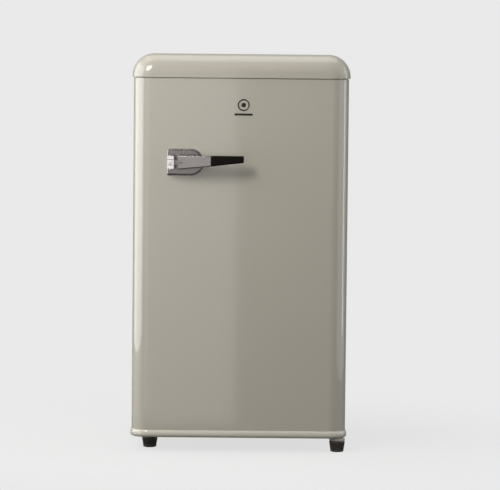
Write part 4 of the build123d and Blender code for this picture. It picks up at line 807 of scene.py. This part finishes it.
# --- emblem ---
def build_emblem(sizes):
    """Plain ring with a dot in it over a plain bar, all with soft edges."""
    low, high = low_high("emblem")
    back = high[1]
    depth = high[1] - low[1]
    radius = sizes.emblem_radius
    z = high[2] - radius
    x = (low[0] + high[0]) / 2
    ring = arc((x, z), radius - sizes.emblem_line / 2, 0, 360, 96)
    ring = ring[0][:-1], ring[1][:-1]
    shape, _ = arc((0, 0), 1.0, 0, 360, 20)
    section = shape[:-1] * [sizes.emblem_line / 2, depth * 0.98] + [0, back]
    half = high[0] - x
    bar_half = sizes.emblem_bar
    zb = low[2] + bar_half
    skin = Skin().ring(swept(ring, section, "front"))
    rows = []
    for inset, rise in ((0, 0), (0, 0.5), (0.0003, 0.85), (0.0008, 1.0)):
        loop = rounded_loop(x - half + inset, x + half - inset, zb - bar_half + inset,
                            zb + bar_half - inset, bar_half - inset - 1e-5, 10)[0]
        rows.append(laid(loop, 1, back - depth * rise))
    skin.tube(np.concatenate(rows))
    dome = [(1.0, 0.0), (1.0, 0.6), (0.9, 0.85), (0.6, 0.97), (0.05, 1.0)]
    turn = arc((0, 0), 1.0, 0, 360, 48)[0][:-1]
    rows = [laid(turn * r * sizes.emblem_dot + [x, z], 1, back - depth * rise)
            for r, rise in dome]
    skin.tube(np.concatenate(rows))
    skin.piece("emblem_mark", "emblem", finish=FINISH_OF_SLOT["emblem"])


# --- feet ---
def foot_profile(radius_top, radius_foot, height):
    """Radius and height of a levelling foot, from its sole to its crown."""
    return np.array([
        (0.0, 0.0), (radius_foot - 0.003, 0.0), (radius_foot - 0.001, 0.0006),
        (radius_foot, 0.002), (radius_foot + 0.0003, 0.0035),
        *[(radius_foot + (radius_top - radius_foot) * s, height * (0.15 + 0.68 * s))
          for s in np.linspace(0.05, 0.92, 14)],
        (radius_top, height * 0.86), (radius_top, height * 0.96), (radius_top - 0.0008, height),
        (0.004, height), (0.0, height)])


def build_feet(sizes):
    """Levelling feet: a tapered cup with upright ribs under a plain collar, and its stud."""
    for side, node in (("left", "front_left_foot"), ("right", "front_right_foot")):
        low, high = low_high(node)
        x, y = (low[:2] + high[:2]) / 2
        radius = (high[0] - low[0]) / 2
        height = sizes.foot_height
        profile = foot_profile(radius, radius * 0.85, height)

        def ribs(turn, level):
            """Grooves between the ribs, faded out at the foot's two ends."""
            band = np.clip((level - 0.0035) / 0.001, 0, 1) * np.clip(
                (height * 0.84 - level) / 0.001, 0, 1)
            return -sizes.foot_groove * band * (0.5 + 0.5 * np.cos(turn * sizes.foot_ribs)) ** 2

        cup = turned(profile, 8 * sizes.foot_ribs, ribs) + [x, y, 0]
        Skin().grid(cup, wrap_rows=True).piece(f"foot_cup_{side}", node, sharp=50)
        thread = np.linspace(height, high[2], 60)
        wave = 0.0030 - 0.00025 * (0.5 + 0.5 * np.cos(thread * 2 * np.pi / 0.001))
        stud = np.concatenate([[(0.0, height - 0.001)], np.column_stack([wave, thread]),
                               [(0.0, high[2])]])
        rod = turned(stud, 32) + [x, y, 0]
        Skin().grid(rod, wrap_rows=True).piece(f"foot_stud_{side}", node, replaces=False,
                                               finish=FINISH_OF_SLOT["fastener_steel"], sharp=60)


# --- stage ---
def add_softbox(name, place, aim, width, height, radiance, colour=(1.0, 1.0, 1.0)):
    """Area light of a given radiance that faces a point."""
    data = bpy.data.lights.new(name, "AREA")
    data.shape = "RECTANGLE"
    data.size = width
    data.size_y = height
    data.energy = radiance * math.pi * width * height
    data.color = colour
    lamp = bpy.data.objects.new(name, data)
    lamp.location = place
    lamp.rotation_euler = (Vector(aim) - Vector(place)).to_track_quat("-Z", "Y").to_euler()
    bpy.context.scene.collection.objects.link(lamp)
    return lamp


def build_floor():
    """Round pale floor that fades into the background far from the object."""
    radii = np.array([0.0, 1.0, 2.5, 4.0, 6.0])
    turn = np.linspace(0, 2 * np.pi, 96, endpoint=False)
    x = radii[:, None] * np.cos(turn)
    y = radii[:, None] * np.sin(turn)
    points = np.stack([x, y, np.zeros_like(x)], -1)
    grid = Skin().grid(points, wrap_columns=True)
    mesh = bpy.data.meshes.new("floor")
    mesh.from_pydata(np.concatenate(grid.points).tolist(), [], grid.faces)
    mesh.flip_normals()
    floor = bpy.data.objects.new("floor", mesh)
    bpy.context.scene.collection.objects.link(floor)
    f = Finish("floor")
    f.set(Base_Color=f.blend(f.noise(3.0), (0.09, 0.09, 0.09, 1), (0.10, 0.10, 0.10, 1)),
          Roughness=0.9, Emission_Strength=1.0, Emission_Color=(0.69, 0.69, 0.69, 1.0))
    away = f.node("ShaderNodeVectorMath", {"operation": "LENGTH"}, {0: f.place})
    fade = f.between(Value(f, away.outputs["Value"]), 0.35, 1.0)
    clear = f.node("ShaderNodeBsdfTransparent")
    mix = f.node("ShaderNodeMixShader", {}, {0: fade, 1: f.surface.outputs[0],
                                             2: clear.outputs[0]})
    f.tree.links.new(mix.outputs[0], f.output.inputs["Surface"])
    mesh.materials.append(f.material)
    floor.visible_diffuse = False
    floor.visible_glossy = False


def build_world(level):
    """Pale background; what the finishes reflect is a dimmer studio, brightest overhead."""
    world = bpy.data.worlds.new("studio")
    bpy.context.scene.world = world
    world.use_nodes = True
    tree = world.node_tree
    tree.nodes.clear()

    def add(kind, **settings):
        """Adds a node to the background and sets its properties."""
        node = tree.nodes.new(kind)
        for key, value in settings.items():
            setattr(node, key, value)
        return node

    place = add("ShaderNodeTexCoord")
    split = add("ShaderNodeSeparateXYZ")
    ramp = add("ShaderNodeValToRGB")
    fill_ramp(ramp.color_ramp, [(0.0, (0.18, 0.17, 0.155)), (0.48, (0.135, 0.134, 0.127)),
                                (0.62, (0.20, 0.20, 0.193)), (1.0, (0.36, 0.36, 0.352))])
    scale = add("ShaderNodeMapRange")
    scale.inputs["From Min"].default_value = -1.0
    studio = add("ShaderNodeBackground")
    studio.inputs["Strength"].default_value = 1.0
    pale = add("ShaderNodeBackground")
    pale.inputs["Color"].default_value = (level, level, level, 1.0)
    ray = add("ShaderNodeLightPath")
    mix = add("ShaderNodeMixShader")
    out = add("ShaderNodeOutputWorld")
    for a, b in ((place.outputs["Generated"], split.inputs[0]),
                 (split.outputs["Z"], scale.inputs["Value"]),
                 (scale.outputs["Result"], ramp.inputs["Fac"]),
                 (ramp.outputs["Color"], studio.inputs["Color"]),
                 (ray.outputs["Is Camera Ray"], mix.inputs[0]),
                 (studio.outputs[0], mix.inputs[1]),
                 (pale.outputs[0], mix.inputs[2]), (mix.outputs[0], out.inputs["Surface"])):
        tree.links.new(a, b)


def build_lights():
    """Key from the upper left front, a tall box at the left, a box and a strip at the right, one
    box overhead and a card beside the camera that the door's left half reflects."""
    front = low_high("door_skin")[0][1]
    key = Vector((-0.43, -0.735, 0.53)).normalized() * 1.9 + Vector((0.0, -0.2, 0.62))
    add_softbox("key", key, (0.0, -0.2, 0.55), 0.62, 0.62, 14.8, (1.0, 0.985, 0.965))
    add_softbox("left_box", (-2.2, -0.35, 1.15), (0.0, -0.35, 1.05), 2.9, 2.3, 2.75)
    add_softbox("right_box", (3.0, -0.5, 1.3), (0.0, -0.3, 0.9), 4.0, 3.0, 0.80)
    add_softbox("right_strip", (2.3, 0.10, 1.0), (0.0, 0.0, 1.0), 0.30, 1.9, 3.1)
    add_softbox("overhead", (0.0, 0.15, 2.6), (0.0, 0.151, 0.8), 2.4, 1.6, 1.38)
    card = 3.0
    edge = -0.0165
    add_softbox("front_left_card", (edge - card / 2, front - 5.0, 0.9),
                (edge - card / 2, front, 0.9), card, 3.0, 0.88)


def build_camera(sizes):
    """Long lens level with the cover, aimed so that the object stands left of the middle."""
    data = bpy.data.cameras.new("camera")
    data.sensor_width = 36.0
    data.lens = 199.5
    data.clip_end = 100.0
    camera = bpy.data.objects.new("camera", data)
    front = low_high("door_skin")[0][1]
    place = Vector((0.0, front - sizes.camera_distance, sizes.camera_height))
    aim = Vector((sizes.aim_x, front, sizes.aim_z))
    look = (aim - place).to_track_quat("-Z", "Y").to_matrix().to_4x4()
    camera.matrix_world = Matrix.Translation(place) @ look @ Matrix.Rotation(
        sizes.camera_roll, 4, "Z")
    bpy.context.scene.collection.objects.link(camera)
    bpy.context.scene.camera = camera


# --- add-on ---
def length(name, description, default):
    """Property for a length in metres."""
    return FloatProperty(name=name, description=description, default=default,
                         subtype="DISTANCE", unit="LENGTH", precision=4)


def colour(name, description, default):
    """Property for a linear colour."""
    return FloatVectorProperty(name=name, description=description, default=default,
                               subtype="COLOR", size=3, min=0.0, max=1.0)


class FridgeSizes(PropertyGroup):
    sheet: length("Sheet", "Thickness of the painted steel", 0.0008)
    door_corner: length("Door corner", "Round of the door's upright front edges", 0.037)
    door_flange: length("Door flange", "Return of the skin behind the door", 0.012)
    seal_width: length("Seal width", "Width of the door's seal", 0.018)
    bead_reach: length("Bead reach", "How far in the door's lower bead is rounded", 0.0058)
    nose_radius: length("Nose radius", "Radius of the lower hinge bracket's nose", 0.0165)
    cover_height: length("Cover height", "From the cover's lip to its crown", 0.0515)
    cover_corner: length("Cover corner", "Round of the cover's upper corners", 0.048)
    cover_roll: length("Cover roll", "Round of the cover's front edge", 0.040)
    cover_back_roll: length("Cover rear roll", "Round of the cover's rear edge", 0.005)
    cover_wall: length("Cover wall", "Thickness of the moulded cover", 0.003)
    slot_radius: length("Slot radius", "Room in the cover's web round the hinge pin", 0.009)
    tab_x: length("Tab place", "Rear tabs from the middle", 0.150)
    tab_half: length("Tab half width", "Half the width of a rear tab", 0.009)
    plate_length: length("Plate length", "Length of the handle's plate", 0.0800)
    barrel_radius: length("Barrel radius", "Radius of the pivot post", 0.009)
    knuckle_height: length("Knuckle height", "Height of the lever's knuckle", 0.0116)
    lever_start: length("Lever start", "From the pivot to the arm", 0.0145)
    lever_length: length("Lever length", "Length of the chromed arm", 0.073)
    lever_height: length("Lever height", "Height of the arm at the pivot", 0.0305)
    lever_thickness: length("Lever thickness", "Thickness of the arm", 0.012)
    lever_lean: length("Lever lean", "How far the handle leans out at its tip", 0.013)
    grip_length: length("Grip length", "Length of the black grip", 0.070)
    grip_height: length("Grip height", "Height of the grip at the lever", 0.023)
    grip_thickness: length("Grip thickness", "Thickness of the grip", 0.015)
    tip_height: length("Tip height", "Height of the grip's tip", 0.0146)
    emblem_radius: length("Emblem radius", "Radius of the ring on the door", 0.013)
    emblem_line: length("Emblem line", "Width of the ring's line", 0.0028)
    emblem_dot: length("Emblem dot", "Radius of the dot in the ring", 0.0050)
    emblem_bar: length("Emblem bar", "Half the height of the bar", 0.0022)
    foot_height: length("Foot height", "Height of a levelling foot", 0.024)
    foot_groove: length("Foot groove", "Depth between a foot's ribs", 0.0012)
    foot_ribs: IntProperty(name="Foot ribs", description="Ribs round a foot", default=24, min=6)
    camera_distance: length("Camera distance", "From the door's face", 6.0)
    camera_height: length("Camera height", "Above the floor", 0.85)
    aim_x: length("Aim X", "Where the camera looks across the door", 0.0216)
    aim_z: length("Aim Z", "Where the camera looks up the door", 0.4528)
    camera_roll: FloatProperty(name="Camera roll", description="Turn about the line of sight",
                               default=math.radians(0.56), subtype="ANGLE", unit="ROTATION")


class FridgeColours(PropertyGroup):
    body: colour("Body", "Enamel of the cabinet, door and cover", (0.455, 0.430, 0.365))
    chrome: colour("Chrome", "Plating of the handle", (0.305, 0.283, 0.277))
    grip: colour("Grip", "Plastic of the grip", (0.006, 0.0045, 0.004))
    liner: colour("Liner", "Plastic inside", (0.80, 0.81, 0.80))


def maker(identity, label, words, *steps):
    """Operator class that runs building steps in order."""
    def execute(self, context):
        """Runs the steps; an error in one stops the operator."""
        for step in steps:
            step(context.scene)
        return {"FINISHED"}

    return type(f"FRIDGE_OT_{identity}", (Operator,), {
        "bl_idname": f"fridge.{identity}", "bl_label": label, "__doc__": words,
        "bl_options": {"REGISTER", "UNDO"}, "execute": execute})


def with_sizes(step):
    """A step that takes the sizes instead of the scene."""
    return lambda scene: step(scene.fridge_sizes)


def finish_step(scene):
    """Every finish of the frame, and the two that only finished pieces have."""
    make_finishes(scene.fridge_colours)
    # Bead finish: the body enamel lit up 1.3 times, a painted highlight on the door's lower bead.
    FINISH_OF_SLOT["bead"] = enamel("bead", [c * 1.3 for c in scene.fridge_colours.body], 0.33,
                                    0.65, 0.000012)
    FINISH_OF_SLOT["emblem"] = chrome("emblem", (0.05, 0.05, 0.05), 0.25)


MAKERS = [
    maker("finishes", "Finishes", "Make every finish and give it to the frame's parts",
          finish_step),
    maker("door", "Door", "Build the door's skin, bead and seal", with_sizes(build_door_skin),
          with_sizes(build_bead), with_sizes(build_gasket), with_sizes(build_bracket_nose)),
    maker("cover", "Top cover", "Build the rounded top cover", with_sizes(build_cover)),
    maker("handle", "Handle", "Build the handle's plate, lever and grip",
          with_sizes(build_handle_base), with_sizes(build_lever), with_sizes(build_grip)),
    maker("emblem", "Emblem", "Build the plain ring and bar on the door",
          with_sizes(build_emblem)),
    maker("feet", "Feet", "Build the levelling feet", with_sizes(build_feet)),
    maker("stage", "Stage", "Build the floor, background, lights and camera",
          lambda scene: build_floor(), lambda scene: build_world(0.82),
          lambda scene: build_lights(), with_sizes(build_camera)),
]


class FRIDGE_PT_panel(Panel):
    """Lists the pieces and the sizes of the fridge"""
    bl_label = "Retro Mini Fridge"
    bl_idname = "FRIDGE_PT_panel"
    bl_space_type = "VIEW_3D"
    bl_region_type = "UI"
    bl_category = "Fridge"

    def draw(self, context):
        """Buttons first, then the sizes and colours."""
        for made in MAKERS:
            self.layout.operator(made.bl_idname)
        for group in (context.scene.fridge_sizes, context.scene.fridge_colours):
            box = self.layout.box()
            for key in group.__annotations__:
                box.prop(group, key)


CLASSES = [FridgeSizes, FridgeColours, *MAKERS, FRIDGE_PT_panel]


def register():
    """Adds the classes and the scene's two property groups."""
    for made in CLASSES:
        bpy.utils.register_class(made)
    bpy.types.Scene.fridge_sizes = PointerProperty(type=FridgeSizes)
    bpy.types.Scene.fridge_colours = PointerProperty(type=FridgeColours)


def unregister():
    """Takes them away again."""
    del bpy.types.Scene.fridge_colours
    del bpy.types.Scene.fridge_sizes
    for made in reversed(CLASSES):
        bpy.utils.unregister_class(made)


def main():
    """Builds everything in order and writes down the frame's box and the finished one."""
    register()
    bpy.context.scene.view_settings.view_transform = "Standard"
    for made in MAKERS:
        group, action = made.bl_idname.split(".")
        getattr(getattr(bpy.ops, group), action)()


if __name__ == "__main__":
    main()
